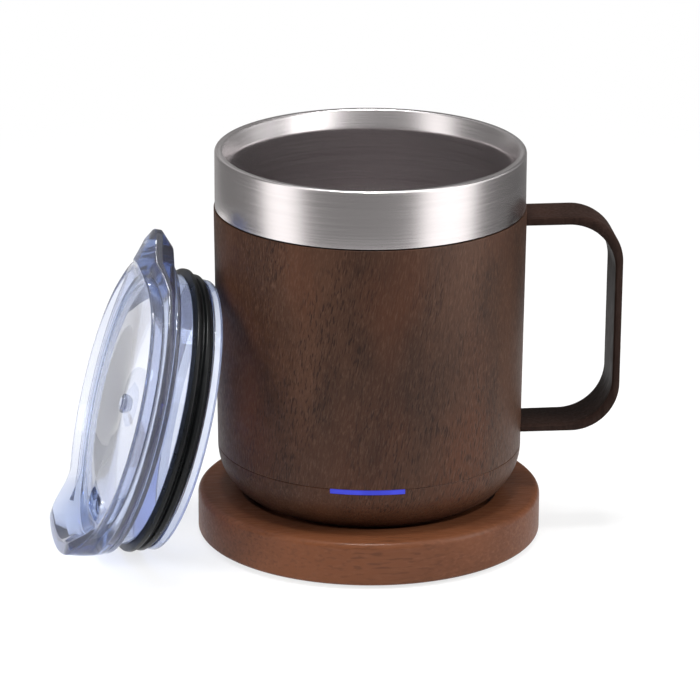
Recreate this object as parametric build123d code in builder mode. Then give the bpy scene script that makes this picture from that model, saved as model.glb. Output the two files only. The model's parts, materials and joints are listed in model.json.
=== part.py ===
from build123d import *
import math
import os

# Self-heating mug on its charging coaster, with its clear lid leaning against its side.
# Millimetres. The origin is on the table under the mug's axis, +Z is up, the handle points along +X.

os.makedirs("parts", exist_ok=True)

# Clearances and cuts that many pieces share
slip = 0.1  # room round a piece that drops into another
running = 0.05  # radial room of a pin that moves in its hole
air = 0.3  # room between pieces that must not touch
overrun = 1.0  # how far a cut runs past the face that it opens

# Steel cup and outer wall
bore_radius = 39.8  # inside of the cup
cup_depth = 74.0  # rim to the cup's floor
cup_corner = 6.0  # inside corner between wall and floor
sheet = 0.7  # steel sheet of cup and outer wall
lip_width = 2.1  # top face of the rim
lip_drop = 5.0  # height over which the lip runs out from the bore
lip_round = 0.6  # rounding of the rim's two edges
wrap_room = 0.8  # gap between cup and outer wall
band_height = 16.4  # bare steel below the rim
flange_thickness = 0.8  # turned-in foot of the outer wall
flange_edge = 2.6  # flange inside the chassis screws

# Sleeve, seam and base cap
sleeve_wall = 1.9
sleeve_taper = 0.6  # radius lost from band to parting line
sleeve_proud = 0.3  # sleeve's top edge outside the steel band
seam = 0.4  # height of the dark joint line
seam_depth = 0.4  # how far the joint line is set back
base_round = 15.7  # radius of the base cap's quarter-round wall
base_wall = 2.2
base_floor = 2.2
spigot_height = 3.0  # collar of the base cap inside the sleeve
spigot_wall = 2.8
spigot_root = 3.0  # depth of the collar's root below the parting line
seal_section = 0.5  # radius of the O-ring's section
seal_side = 0.2  # room above and below the O-ring

# Handle
handle_width = 15.5
handle_thickness = 2.3
handle_reach = 27.8  # mug's side to the outside of the grip bar
handle_lean = 0.5  # grip bar's lower end stands this much further in
handle_bend = 15.0  # inside radius of the two bends
handle_corner = 13.8  # outside radius of the two bends
handle_edge = 0.7  # rounding of the long edges
handle_drop = 3.15  # steel band to the upper arm
handle_rise = 3.2  # parting line to the lower arm

# Light bar
light_azimuth = -96.7
light_width = 20.9
light_height = 1.2
strip_height = 3.6
strip_thickness = 0.5
strip_margin = 2.0  # degrees of strip past each end of the bar
led_count = 5
led_width = 2.8
led_height = 1.2
led_depth = 0.8

# Heater stack under the cup's floor
heater_radius = 30.0
spreader_thickness = 1.2
film_thickness = 0.4
film_inset = 0.5
pad_thickness = 3.0
clamp_thickness = 1.2
clamp_rim = 0.5
thermistor_radius = 2.0
thermistor_height = 2.2
thermistor_room = 1.5
stud_count = 3
stud_azimuth = 60.0
stud_radius = 1.5
stud_edge = 3.0  # heater's edge to the studs
stud_end = 0.4  # stud showing below its nut
nut_flats = 5.5
nut_height = 2.4
lead_radius = 0.6
lead_room = 0.4
lead_edge = 1.9  # heater's edge to the leads
lead_angle = 22.4
battery_lead_reach = 3.5
battery_lead_bend = 2.2

# Battery, chassis and control board
cell_length = 40.0
cell_thickness = 8.3
cell_split = 0.4  # gap between the two cells
cell_edge = 1.2
cell_air = 0.6  # room above the cells
tray_floor = 1.4
tray_wall = 1.6
tray_skin = 0.8  # tray wall outside the screw bosses
boss_radius = 2.6
boss_cap = 1.6  # material that each chassis screw clamps
small_shank = 1.0
small_head = 1.9
small_head_height = 1.4
screw_end = 0.6
parts_room = 2.0  # room for chips on the board
board_thickness = 1.6
board_margin = 1.5  # board's edge to the base cap
switch_room = 3.0  # room for the switch under the board
switch_side = 6.0
switch_body = 1.6
switch_stem_radius = 1.7
switch_stem = 0.5

# Power button, foot and contacts under the base
button_radius = 5.0
button_inset = 0.2
button_flange_width = 1.4
button_dish = 0.5
button_travel = 0.4
foot_stand = 0.6  # foot ring showing below the base
foot_depth = 0.8
foot_width = 5.5
foot_margin = 1.2
contact_width = 2.5
contact_depth = 0.8
contact_margin = 3.0
contact_pitch = 6.0
post_radius = 0.8
post_azimuth = 20.0
screw_count = 4  # chassis, base and coaster screws each
base_screw_azimuth = 45.0
base_shank = 1.25
base_head = 2.3
base_head_height = 1.4
head_room = 0.2
head_lift = 0.4  # screw seat above the base cap's floor
standoff_radius = 3.6

# Coaster
coaster_radius = 49.15
seat_depth = 2.5
seat_room = 1.7  # seat's wall outside the base cap, at the coaster's top
roof = 3.4  # wood left under the seat
top_round = 1.8
foot_round = 1.4
rest_thickness = 0.8  # silicone pad under the coaster
rest_margin = 3.2
plate_thickness = 1.6
plate_margin = 1.0
plate_head_depth = 1.0
coaster_screw_edge = 2.5
coaster_screw_length = 4.2
coaster_screw_azimuth = 45.0
rim_wood = 10.6  # solid rim round the cavity
stand = 0.6  # board above the base plate
stand_radius = 2.0
stand_margin = 5.0
coaster_board_thickness = 1.2
coaster_board_margin = 12.0
insert_margin = 0.5
insert_flange = 1.4
insert_flange_width = 3.0
insert_skin = 1.2  # insert left above the pin barrels

# Power socket at the coaster's back
socket_width = 8.94
socket_height = 3.26
socket_length = 7.3
socket_wall = 0.3
socket_recess = 0.9
socket_back = 1.0
tongue_width = 6.7
tongue_thickness = 0.7
tongue_recess = 0.8
tail_margin = 1.6
pocket_wall = 2.6  # wood between the socket's pocket and the outside

# Sprung contact pins
pin_radius = 0.9
pin_collar = 0.5
pin_collar_height = 1.0
pin_chamfer = 0.3
pin_gap = 0.1  # pin tip to contact ring
pin_azimuth = -30.0
barrel_wall = 0.4
barrel_lip = 0.8
barrel_floor = 0.4
spring_wire = 0.15
spring_turns = 4.0

# Lid
lid_azimuth = 185.6  # where it leans on the mug
lid_tilt = 15.7  # degrees that its face looks up
lid_stand = 0.2  # lowest point above the table
lid_room = 0.7  # plug inside the cup
lid_lip = 2.6
gasket_height = 6.2
gasket_groove = 1.5
gasket_lip = 1.2  # how far the gasket's larger lip stands past the bore
gasket_step = 1.0  # how much smaller the lip near the plug's end is
gasket_web = 0.9
lip_start_share = 0.5
lip_end_share = 0.75
barrel_height = 4.6
lid_flange = 1.6
lid_flange_inset = 1.2
skirt_wall = 1.8
lid_plate = 2.2
cover_floor = 2.0
cover_height = 5.8
cover_inset = 2.3  # dish's rim inside the plug's flange
cover_flare = 2.2  # radius gained by the dish's wall from floor to rim
cover_wall = 2.2
cover_gap = 0.2
thumb_reach = 11.0
thumb_round = 5.0  # tip of the tab seen from above
thumb_foot = 7.2  # how far the tab's underside runs out
thumb_tip = 0.2  # tip above the cover's rim
thumb_crown = 1.6  # tab's root above the cover's rim
spout_rise = 3.9
spout_lean = 5.4
spout_thickness = 2.6
spout_crest = 17.0  # half width of the spout's top
spout_spread = 32.0  # half width of its ramps
sip_width = 16.0
sip_depth = 7.0
sip_circle = 31.0
vent_radius = 1.6
pivot_radius = 1.8
pivot_head = 3.0
pivot_head_height = 0.8
pivot_tail = 2.8
stop_radius = 1.2
stop_circle = 18.0
stop_height = 1.0
stop_angle = 90.0

# Chips as (x, y, length, width, height) shares of their board's radius and of the room above it
chip_shares = [
    (0.10, 0.25, 0.24, 0.24, 0.55),
    (-0.30, 0.05, 0.20, 0.30, 0.80),
    (0.05, -0.30, 0.30, 0.16, 0.50),
    (0.38, -0.02, 0.12, 0.26, 0.90),
    (-0.12, -0.62, 0.22, 0.12, 0.70),
    (-0.10, 0.66, 0.26, 0.10, 0.45),
]
coaster_chip_shares = [
    (-0.45, 0.20, 0.30, 0.30, 0.70),
    (0.45, 0.30, 0.22, 0.34, 0.60),
    (-0.30, -0.50, 0.34, 0.20, 0.50),
]

# Radii, from the cup outwards and then inwards again to the chassis
cup_outer = bore_radius + sheet
wall_inner = cup_outer + wrap_room
neck_radius = wall_inner + sheet
sleeve_bore = neck_radius + slip
mug_radius = sleeve_bore + sleeve_wall
base_radius = mug_radius - sleeve_taper
flat_radius = base_radius - base_round
spigot_radius = sleeve_bore - slip
spigot_inner = spigot_radius - spigot_wall
led_face = spigot_inner - air
chassis_radius = led_face - led_depth - strip_thickness
chassis_circle = chassis_radius - tray_skin - boss_radius
flange_radius = chassis_circle - flange_edge
foot_outer = flat_radius - foot_margin
foot_inner = foot_outer - foot_width
base_circle = (foot_outer + foot_inner) / 2
outer_contact = foot_inner - contact_margin - contact_width / 2
inner_contact = outer_contact - contact_pitch
insert_radius = foot_inner - insert_margin
rest_radius = coaster_radius - foot_round - rest_margin
plate_radius = rest_radius - plate_margin
coaster_circle = plate_radius - coaster_screw_edge
cavity_radius = coaster_radius - rim_wood
coaster_board_radius = cavity_radius - coaster_board_margin
film_radius = heater_radius - film_inset
stud_circle = heater_radius - stud_edge
lead_circle = heater_radius - lead_edge
cell_width = math.sqrt((flange_radius - air) ** 2 - (cell_length / 2) ** 2) - cell_split / 2

# Heights, from the table up
plate_z = rest_thickness
plate_top = plate_z + plate_thickness
coaster_board_z = plate_top + stand
coaster_board_top = coaster_board_z + coaster_board_thickness
roof_z = coaster_board_top + socket_height + slip
seat_z = roof_z + roof
coaster_top = seat_z + seat_depth
belly_z = seat_z + foot_stand
floor_z = belly_z + base_floor
board_z = floor_z + switch_room
deck_z = board_z + board_thickness
chassis_z = deck_z + parts_room
tray_z = chassis_z + tray_floor
cell_top = tray_z + cell_thickness
stud_z = cell_top + cell_air
nut_z = stud_z + stud_end
clamp_z = nut_z + nut_height
pad_z = clamp_z + clamp_thickness
film_z = pad_z + pad_thickness
spreader_z = film_z + film_thickness
cup_z = spreader_z + spreader_thickness
rim_z = cup_z + sheet + cup_depth
band_z = rim_z - band_height
part_z = belly_z + base_round
spigot_z = part_z + spigot_height
flange_z = spigot_z + slip
sleeve_top = band_z - seam
board_radius = flat_radius + math.sqrt((base_round - base_wall) ** 2 - (part_z - board_z) ** 2) - board_margin
light_z = part_z - slip - light_height
light_half = math.degrees(math.asin(light_width / 2 / base_radius))
light_radius = flat_radius + math.sqrt(base_round**2 - (part_z - light_z) ** 2)
seat_radius = flat_radius + math.sqrt(base_round**2 - (part_z - coaster_top) ** 2) + seat_room
barrel_top = seat_z - insert_skin
barrel_radius = pin_radius + pin_collar + slip + barrel_wall


def turned(*outline, axis_plane=Plane.XZ, arc=360.0):
    """Solid turned about the plane's own Y direction from (radius, height) points."""
    with BuildPart() as piece:
        with BuildSketch(axis_plane):
            with BuildLine():
                Polyline(*outline, close=True)
            make_face()
        revolve(axis=Axis(axis_plane.origin, axis_plane.y_dir), revolution_arc=arc)
    return piece.part


def washer(inner, outer, low, high):
    """Flat ring, or a disc where the inner radius is zero."""
    return turned((inner, low), (outer, low), (outer, high), (inner, high))


def posts(places, radius, low, high, base=Plane.XY):
    """Round posts between two heights, also used as the tool for round holes."""
    with BuildPart() as group:
        with BuildSketch(base.offset(low)):
            with Locations(*places):
                Circle(radius)
        extrude(amount=high - low)
    return group.part


def sector(inner, outer, low, high, middle, half):
    """Part of a ring, half degrees each side of the middle azimuth."""
    with BuildPart() as piece:
        with BuildSketch(Plane.XY.offset(low)):
            with BuildLine():
                far = CenterArc((0, 0), outer, middle - half, 2 * half)
                near = CenterArc((0, 0), inner, middle - half, 2 * half)
                Line(far @ 0, near @ 0)
                Line(far @ 1, near @ 1)
            make_face()
        extrude(amount=high - low)
    return piece.part


def polar(radius, azimuth):
    """Point at a radius and an azimuth in degrees."""
    return (radius * math.cos(math.radians(azimuth)), radius * math.sin(math.radians(azimuth)))


def around(radius, count, start):
    """Evenly spaced points on a circle about the mug's axis."""
    return [polar(radius, start + 360 * number / count) for number in range(count)]


# Places that several pieces share
chassis_places = around(chassis_circle, screw_count, 0)
base_places = around(base_circle, screw_count, base_screw_azimuth)
coaster_places = around(coaster_circle, screw_count, coaster_screw_azimuth)
stud_places = around(stud_circle, stud_count, stud_azimuth)
lead_places = [polar(lead_circle, lead_angle), polar(lead_circle, -lead_angle)]
post_places = [polar(inner_contact, post_azimuth), polar(outer_contact, post_azimuth)]
pin_places = [polar(inner_contact, pin_azimuth), polar(outer_contact, pin_azimuth)]

# Inner cup with its rolled rim
lip_radius = mug_radius - lip_width
with BuildPart() as inner_cup:
    with BuildSketch(Plane.XZ):
        with BuildLine():
            wall_foot = cup_z + sheet + cup_corner
            slope_foot = rim_z - lip_drop
            Line((0, cup_z), (bore_radius - cup_corner, cup_z))
            CenterArc((bore_radius - cup_corner, wall_foot), cup_corner + sheet, 270, 90)
            Polyline(
                (cup_outer, wall_foot),
                (cup_outer, slope_foot),
                (lip_radius + sheet, rim_z - sheet - lip_round),
                (lip_radius + sheet + lip_round, rim_z - sheet),
                (mug_radius - sheet, rim_z - sheet),
                (mug_radius - sheet, rim_z),
                (lip_radius + lip_round, rim_z),
            )
            CenterArc((lip_radius + lip_round, rim_z - lip_round), lip_round, 90, 90)
            Polyline((lip_radius, rim_z - lip_round), (bore_radius, slope_foot), (bore_radius, wall_foot))
            CenterArc((bore_radius - cup_corner, wall_foot), cup_corner, 0, -90)
            Polyline((bore_radius - cup_corner, cup_z + sheet), (0, cup_z + sheet), (0, cup_z))
        make_face()
    revolve(axis=Axis.Z)

# Outer wall: bare band above, narrow neck under the sleeve, foot turned in for the chassis screws
flange_top = flange_z + flange_thickness
with BuildPart() as outer_wall:
    with BuildSketch(Plane.XZ):
        with BuildLine():
            Polyline(
                (mug_radius - lip_round, rim_z),
                (mug_radius - sheet, rim_z),
                (mug_radius - sheet, band_z + sheet),
                (wall_inner, band_z + sheet),
                (wall_inner, flange_top),
                (flange_radius, flange_top),
                (flange_radius, flange_z),
                (neck_radius, flange_z),
                (neck_radius, band_z),
                (mug_radius, band_z),
                (mug_radius, rim_z - lip_round),
            )
            CenterArc((mug_radius - lip_round, rim_z - lip_round), lip_round, 0, 90)
        make_face()
    revolve(axis=Axis.Z)
    add(posts(chassis_places, small_shank + running, flange_z, flange_top), mode=Mode.SUBTRACT)
    add(posts(lead_places, lead_radius + lead_room, flange_z, flange_top), mode=Mode.SUBTRACT)
    add(posts(stud_places, nut_flats / math.sqrt(3) + slip, flange_z, flange_top), mode=Mode.SUBTRACT)

# Foil wrap between cup and wall
with BuildPart() as insulation_wrap:
    add(washer(cup_outer + slip, wall_inner - slip, wall_foot, band_z))

# Wood-grain sleeve with two slots for the handle's arms
arm_top = band_z - handle_drop
arm_low = part_z + handle_rise
with BuildPart() as wood_sleeve:
    shell = turned(
        (sleeve_bore, part_z),
        (base_radius, part_z),
        (mug_radius + sleeve_proud, sleeve_top),
        (sleeve_bore, sleeve_top),
    )
    add(shell)
    with BuildSketch(Plane.YZ):
        with Locations((0, arm_top - handle_thickness / 2), (0, arm_low + handle_thickness / 2)):
            Rectangle(handle_width + 2 * slip, handle_thickness + 2 * slip)
    extrude(amount=mug_radius + overrun, mode=Mode.SUBTRACT)

# Dark ring in the joint line
with BuildPart() as seam_ring:
    add(washer(sleeve_bore, mug_radius - seam_depth, sleeve_top, band_z))

# Strip handle, its arms welded to the neck through the sleeve's slots
grip_outer = mug_radius + handle_reach
with BuildPart() as handle:
    with BuildSketch(Plane.XZ):
        with BuildLine():
            outside = FilletPolyline(
                (0, arm_top),
                (grip_outer, arm_top),
                (grip_outer - handle_lean, arm_low),
                (0, arm_low),
                radius=handle_corner,
            )
            inside = FilletPolyline(
                (0, arm_top - handle_thickness),
                (grip_outer - handle_thickness, arm_top - handle_thickness),
                (grip_outer - handle_lean - handle_thickness, arm_low + handle_thickness),
                (0, arm_low + handle_thickness),
                radius=handle_bend,
            )
            Line(outside @ 0, inside @ 0)
            Line(outside @ 1, inside @ 1)
        make_face()
    extrude(amount=handle_width / 2, both=True)
    fillet(handle.faces().filter_by(Axis.Y).edges(), handle_edge)
    add(washer(0, neck_radius, part_z, rim_z), mode=Mode.SUBTRACT)

# Base cap: quarter-round wall, flat floor, collar with a seal groove, stand-offs and openings
groove_low = part_z + (spigot_height - 2 * seal_section) / 2 - seal_side
groove_high = groove_low + 2 * seal_section + 2 * seal_side
groove_radius = spigot_radius - 2 * seal_section
inner_round = base_round - base_wall
root_z = part_z - spigot_root
root_angle = math.degrees(math.asin(spigot_root / inner_round))
base_head_z = floor_z + head_lift
with BuildPart() as base_cap:
    with BuildSketch(Plane.XZ):
        with BuildLine():
            CenterArc((flat_radius, part_z), base_round, 270, 90)
            Polyline(
                (base_radius, part_z),
                (spigot_radius, part_z),
                (spigot_radius, groove_low),
                (groove_radius, groove_low),
                (groove_radius, groove_high),
                (spigot_radius, groove_high),
                (spigot_radius, spigot_z),
                (spigot_inner, spigot_z),
                (spigot_inner, root_z),
                (flat_radius + inner_round * math.cos(math.radians(root_angle)), root_z),
            )
            CenterArc((flat_radius, part_z), inner_round, -root_angle, root_angle - 90)
            Polyline((flat_radius, floor_z), (0, floor_z), (0, belly_z), (flat_radius, belly_z))
        make_face()
    revolve(axis=Axis.Z)
    add(posts(base_places, standoff_radius, floor_z, board_z))
    add(posts(base_places, base_head + head_room, belly_z - overrun, base_head_z), mode=Mode.SUBTRACT)
    add(posts(base_places, base_shank + slip, belly_z, board_z + overrun), mode=Mode.SUBTRACT)
    add(posts(post_places, post_radius + slip, belly_z, floor_z + overrun), mode=Mode.SUBTRACT)
    add(washer(0, button_radius + running, belly_z - overrun, floor_z + overrun), mode=Mode.SUBTRACT)
    foot_room = washer(foot_inner - slip, foot_outer + slip, belly_z - overrun, belly_z + foot_depth)
    add(foot_room, mode=Mode.SUBTRACT)
    for middle in (inner_contact, outer_contact):
        reach = contact_width / 2 + slip
        ring_room = washer(middle - reach, middle + reach, belly_z - overrun, belly_z + contact_depth)
        add(ring_room, mode=Mode.SUBTRACT)
    slot_half = light_half + math.degrees(slip / base_radius)
    light_slot = sector(
        spigot_inner - overrun, base_radius + overrun, light_z - slip, part_z, light_azimuth, slot_half
    )
    add(light_slot, mode=Mode.SUBTRACT)

# O-ring between base cap and sleeve
with BuildPart() as base_seal:
    with BuildSketch(Plane.XZ):
        with Locations((groove_radius + seal_section, (groove_low + groove_high) / 2)):
            Circle(seal_section)
    revolve(axis=Axis.Z)

# Light guide in its slot, with the LED strip behind it on the chassis
light_middle = light_z + light_height / 2
strip_z = light_middle - strip_height / 2
strip_outer = chassis_radius + strip_thickness
strip_half = light_half + strip_margin
with BuildPart() as light_guide:
    add(sector(led_face + slip, light_radius, light_z, part_z - slip, light_azimuth, light_half))
with BuildPart() as led_strip:
    add(sector(chassis_radius, strip_outer, strip_z, strip_z + strip_height, light_azimuth, strip_half))
with BuildPart() as leds:
    for number in range(led_count):
        turn = light_azimuth + light_half * ((2 * number + 1) / led_count - 1)
        east, north = polar(1, turn)
        led_seat = Plane(
            origin=(strip_outer * east, strip_outer * north, light_middle),
            x_dir=(-north, east, 0),
            z_dir=(east, north, 0),
        )
        with BuildSketch(led_seat):
            Rectangle(led_width, led_height)
        extrude(amount=led_depth)


def heater_layer(radius, low, thickness, centre_hole, leads):
    """Round layer with holes for the studs and, where they pass, for the leads."""
    top = low + thickness
    with BuildPart() as layer:
        add(washer(centre_hole, radius, low, top))
        add(posts(stud_places, stud_radius + slip, low, top), mode=Mode.SUBTRACT)
        if leads:
            add(posts(lead_places, lead_radius + lead_room, low, top), mode=Mode.SUBTRACT)
    return layer.part


# Heater stack, clamped up against the cup's floor
with BuildPart() as heat_spreader:
    add(heater_layer(heater_radius, spreader_z, spreader_thickness, 0, False))
with BuildPart() as heating_film:
    add(heater_layer(film_radius, film_z, film_thickness, 0, False))
with BuildPart() as insulation_pad:
    add(heater_layer(heater_radius, pad_z, pad_thickness, thermistor_radius + thermistor_room, True))
with BuildPart() as heater_clamp:
    add(heater_layer(heater_radius + clamp_rim, clamp_z, clamp_thickness, thermistor_radius, True))
with BuildPart() as thermistor:
    add(washer(0, thermistor_radius, film_z - thermistor_height, film_z))
with BuildPart() as heater_studs:
    add(posts(stud_places, stud_radius, stud_z, cup_z))
with BuildPart() as heater_nuts:
    with BuildSketch(Plane.XY.offset(nut_z)):
        with Locations(*stud_places):
            RegularPolygon(nut_flats / 2, 6, major_radius=False)
            Circle(stud_radius + running, mode=Mode.SUBTRACT)
    extrude(amount=nut_height)
with BuildPart() as heater_leads:
    add(posts(lead_places, lead_radius, deck_z, film_z))

# Battery cells side by side in the tray, each with a lead down to the board
cell_middle = (cell_width + cell_split) / 2
cell_sides = (cell_middle, -cell_middle)
terminal_z = tray_z + cell_thickness / 2
battery_lead_x = -cell_length / 2 - battery_lead_reach
battery_places = [(battery_lead_x, side) for side in cell_sides]
with BuildPart() as battery_cells:
    with BuildSketch(Plane.XY.offset(tray_z)):
        with Locations((0, cell_middle), (0, -cell_middle)):
            Rectangle(cell_length, cell_width)
    extrude(amount=cell_thickness)
    fillet(battery_cells.edges().filter_by(Axis.X), cell_edge)
with BuildPart() as battery_leads:
    for side in cell_sides:
        terminal = (-cell_length / 2, side, terminal_z)
        with BuildLine() as lead_route:
            FilletPolyline(
                terminal,
                (battery_lead_x, side, terminal_z),
                (battery_lead_x, side, deck_z),
                radius=battery_lead_bend,
            )
        with BuildSketch(Plane(origin=terminal, z_dir=(-1, 0, 0))):
            Circle(lead_radius)
        sweep(path=lead_route.line)

# Chassis: round tray with bosses for the screws from below and legs for the base screws
boss_seat = flange_z - boss_cap
leg_tip = tray_z - slip
with BuildPart() as chassis:
    add(washer(0, chassis_radius, chassis_z, tray_z))
    add(washer(chassis_radius - tray_wall, chassis_radius, tray_z, flange_z))
    add(posts(chassis_places, boss_radius, tray_z, flange_z))
    add(posts(base_places, standoff_radius, deck_z, chassis_z))
    add(posts(chassis_places, small_head + slip, chassis_z - overrun, boss_seat), mode=Mode.SUBTRACT)
    add(posts(chassis_places, small_shank + slip, chassis_z, flange_z + overrun), mode=Mode.SUBTRACT)
    add(posts(base_places, base_shank + running, deck_z - overrun, leg_tip), mode=Mode.SUBTRACT)
    lead_holes = posts(lead_places + battery_places, lead_radius + lead_room, chassis_z, tray_z)
    add(lead_holes, mode=Mode.SUBTRACT)
with BuildPart() as chassis_screws:
    add(posts(chassis_places, small_head, boss_seat - small_head_height, boss_seat))
    add(posts(chassis_places, small_shank, boss_seat, flange_top + screw_end))

# Control board with chips above and the button's switch below
with BuildPart() as control_board:
    add(washer(0, board_radius, board_z, deck_z))
    add(posts(base_places, base_shank + slip, board_z, deck_z), mode=Mode.SUBTRACT)


def chips(shares, radius, low, room):
    """Chips on a board from (x, y, length, width, height) shares of its radius and of the room above."""
    with BuildPart() as group:
        for x_share, y_share, length_share, width_share, height_share in shares:
            with BuildSketch(Plane.XY.offset(low)):
                with Locations((x_share * radius, y_share * radius)):
                    Rectangle(length_share * radius, width_share * radius)
            extrude(amount=height_share * room)
    return group.part


with BuildPart() as board_chips:
    add(chips(chip_shares, board_radius, deck_z, parts_room))
switch_z = board_z - switch_body
stem_z = switch_z - switch_stem
with BuildPart() as button_switch:
    with BuildSketch(Plane.XY.offset(switch_z)):
        Rectangle(switch_side, switch_side)
    extrude(amount=switch_body)
    add(washer(0, switch_stem_radius, stem_z, switch_z))

# Power button: dished cap in the base's centre, held by a flange inside
button_face = belly_z + button_inset
button_top = stem_z - button_travel
shelf_radius = button_radius + button_flange_width
with BuildPart() as power_button:
    with BuildSketch(Plane.XZ):
        with BuildLine():
            SagittaArc((-button_radius, button_face), (button_radius, button_face), button_dish)
            Polyline(
                (button_radius, button_face),
                (button_radius, floor_z),
                (shelf_radius, floor_z),
                (shelf_radius, button_top),
                (-shelf_radius, button_top),
                (-shelf_radius, floor_z),
                (-button_radius, floor_z),
                (-button_radius, button_face),
            )
        make_face()
        split(bisect_by=Plane.YZ, keep=Keep.TOP)
    revolve(axis=Axis.Z)


def contact_ring(middle, place):
    """Ring let into the base, with a post up to the board."""
    ring_top = belly_z + contact_depth
    with BuildPart() as ring:
        add(washer(middle - contact_width / 2, middle + contact_width / 2, belly_z, ring_top))
        add(posts([place], post_radius, ring_top, board_z))
    return ring.part


# Contact rings, flush under the base
with BuildPart() as contact_ring_inner:
    add(contact_ring(inner_contact, post_places[0]))
with BuildPart() as contact_ring_outer:
    add(contact_ring(outer_contact, post_places[1]))

# Silicone foot that covers the base screws
with BuildPart() as foot_ring:
    add(washer(foot_inner, foot_outer, seat_z, belly_z + foot_depth))
with BuildPart() as base_screws:
    add(posts(base_places, base_head, base_head_z - base_head_height, base_head_z))
    add(posts(base_places, base_shank, base_head_z, leg_tip - slip))

# Wooden coaster: seat above, cavity below, pocket and mouth for the socket at the back
socket_middle = coaster_board_top + socket_height / 2
socket_mouth = coaster_radius - socket_recess
tail_width = socket_width + 2 * tail_margin
screw_depth = plate_top + coaster_screw_length
with BuildPart() as coaster_body:
    add(washer(0, coaster_radius, plate_z, coaster_top))
    fillet(coaster_body.edges().group_by(Axis.Z)[-1], top_round)
    fillet(coaster_body.edges().group_by(Axis.Z)[0], foot_round)
    add(washer(0, seat_radius, seat_z, coaster_top + overrun), mode=Mode.SUBTRACT)
    add(washer(0, insert_radius + slip, roof_z - overrun, seat_z + overrun), mode=Mode.SUBTRACT)
    add(washer(0, cavity_radius, plate_z - overrun, roof_z), mode=Mode.SUBTRACT)
    add(washer(0, plate_radius + slip, plate_z - overrun, plate_top), mode=Mode.SUBTRACT)
    add(posts(coaster_places, small_shank + running, plate_z, screw_depth), mode=Mode.SUBTRACT)
    with BuildSketch(Plane.XY.offset(plate_top)):
        Rectangle(
            tail_width + 2 * slip, coaster_radius - pocket_wall, align=(Align.CENTER, Align.MIN)
        )
    extrude(amount=roof_z - plate_top, mode=Mode.SUBTRACT)
    with BuildSketch(Plane.XZ):
        with Locations((0, socket_middle)):
            SlotOverall(socket_width + 2 * slip, socket_height + 2 * slip)
    extrude(amount=-(coaster_radius + overrun), mode=Mode.SUBTRACT)

# Black contact insert, flush with the seat, with stepped holes for the pins
insert_z = roof_z - insert_flange
with BuildPart() as coaster_insert:
    add(washer(0, insert_radius + insert_flange_width, insert_z, roof_z))
    add(washer(0, insert_radius, roof_z, seat_z))
    add(posts(pin_places, barrel_radius + slip, insert_z - overrun, barrel_top), mode=Mode.SUBTRACT)
    add(posts(pin_places, pin_radius + slip, insert_z, seat_z + overrun), mode=Mode.SUBTRACT)

# Base plate with stand-offs for the board, its screws and the silicone pad under it
stand_places = around(coaster_board_radius - stand_margin, screw_count, coaster_screw_azimuth)
plate_head_z = plate_z + plate_head_depth
with BuildPart() as coaster_base:
    add(washer(0, plate_radius, plate_z, plate_top))
    add(posts(stand_places, stand_radius, plate_top, coaster_board_z))
    add(posts(coaster_places, small_head + slip, plate_z - overrun, plate_head_z), mode=Mode.SUBTRACT)
    add(posts(coaster_places, small_shank + slip, plate_z, plate_top + overrun), mode=Mode.SUBTRACT)
with BuildPart() as coaster_screws:
    add(posts(coaster_places, small_head, plate_z, plate_head_z))
    add(posts(coaster_places, small_shank, plate_head_z, screw_depth - slip))
with BuildPart() as coaster_pad:
    add(washer(0, rest_radius, 0, rest_thickness))

# Coaster board with a tail under the socket, and its chips
with BuildPart() as coaster_board:
    with BuildSketch(Plane.XY.offset(coaster_board_z)):
        Circle(coaster_board_radius)
        Rectangle(tail_width, coaster_radius - pocket_wall - slip, align=(Align.CENTER, Align.MIN))
    extrude(amount=coaster_board_thickness)
with BuildPart() as coaster_chips:
    add(chips(coaster_chip_shares, coaster_board_radius, coaster_board_top, insert_z - coaster_board_top))

# Socket: steel shell with a plastic core and tongue
socket_start = socket_mouth - socket_length
socket_plane = Plane.XZ.offset(-socket_start)
core_inset = 2 * socket_wall + 2 * running
with BuildPart() as socket_shell:
    with BuildSketch(socket_plane):
        with Locations((0, socket_middle)):
            SlotOverall(socket_width, socket_height)
            SlotOverall(socket_width - 2 * socket_wall, socket_height - 2 * socket_wall, mode=Mode.SUBTRACT)
    extrude(amount=-socket_length)
with BuildPart() as socket_core:
    with BuildSketch(socket_plane):
        with Locations((0, socket_middle)):
            SlotOverall(socket_width - core_inset, socket_height - core_inset)
    extrude(amount=-socket_back)
    with BuildSketch(socket_plane):
        with Locations((0, socket_middle)):
            Rectangle(tongue_width, tongue_thickness)
    extrude(amount=tongue_recess - socket_length)

# Sprung pins in their barrels
spring_low = coaster_board_top + barrel_floor
collar_top = barrel_top - barrel_lip
collar_low = collar_top - pin_collar_height
with BuildPart() as pin_barrels:
    add(posts(pin_places, barrel_radius, coaster_board_top, barrel_top))
    add(posts(pin_places, barrel_radius - barrel_wall, spring_low, collar_top), mode=Mode.SUBTRACT)
    add(posts(pin_places, pin_radius + running, spring_low, barrel_top + overrun), mode=Mode.SUBTRACT)


def contact_pin(place):
    """Plunger with its retaining collar."""
    with BuildPart() as pin:
        add(posts([place], pin_radius + pin_collar, collar_low, collar_top))
        add(posts([place], pin_radius, collar_top, belly_z - pin_gap))
        chamfer(pin.edges().group_by(Axis.Z)[-1], pin_chamfer)
    return pin.part


def pin_spring(place):
    """Open coil between the barrel's floor and the plunger's collar."""
    coil_low = spring_low + spring_wire + slip
    coil_height = collar_low - spring_wire - slip - coil_low
    with BuildPart() as spring:
        with BuildLine(Plane(origin=(*place, coil_low))) as coil:
            Helix(pitch=coil_height / spring_turns, height=coil_height, radius=pin_radius)
        with BuildSketch(Plane(origin=coil.line @ 0, z_dir=coil.line % 0)):
            Circle(spring_wire)
        sweep(path=coil.line, is_frenet=True)
    return spring.part


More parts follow.
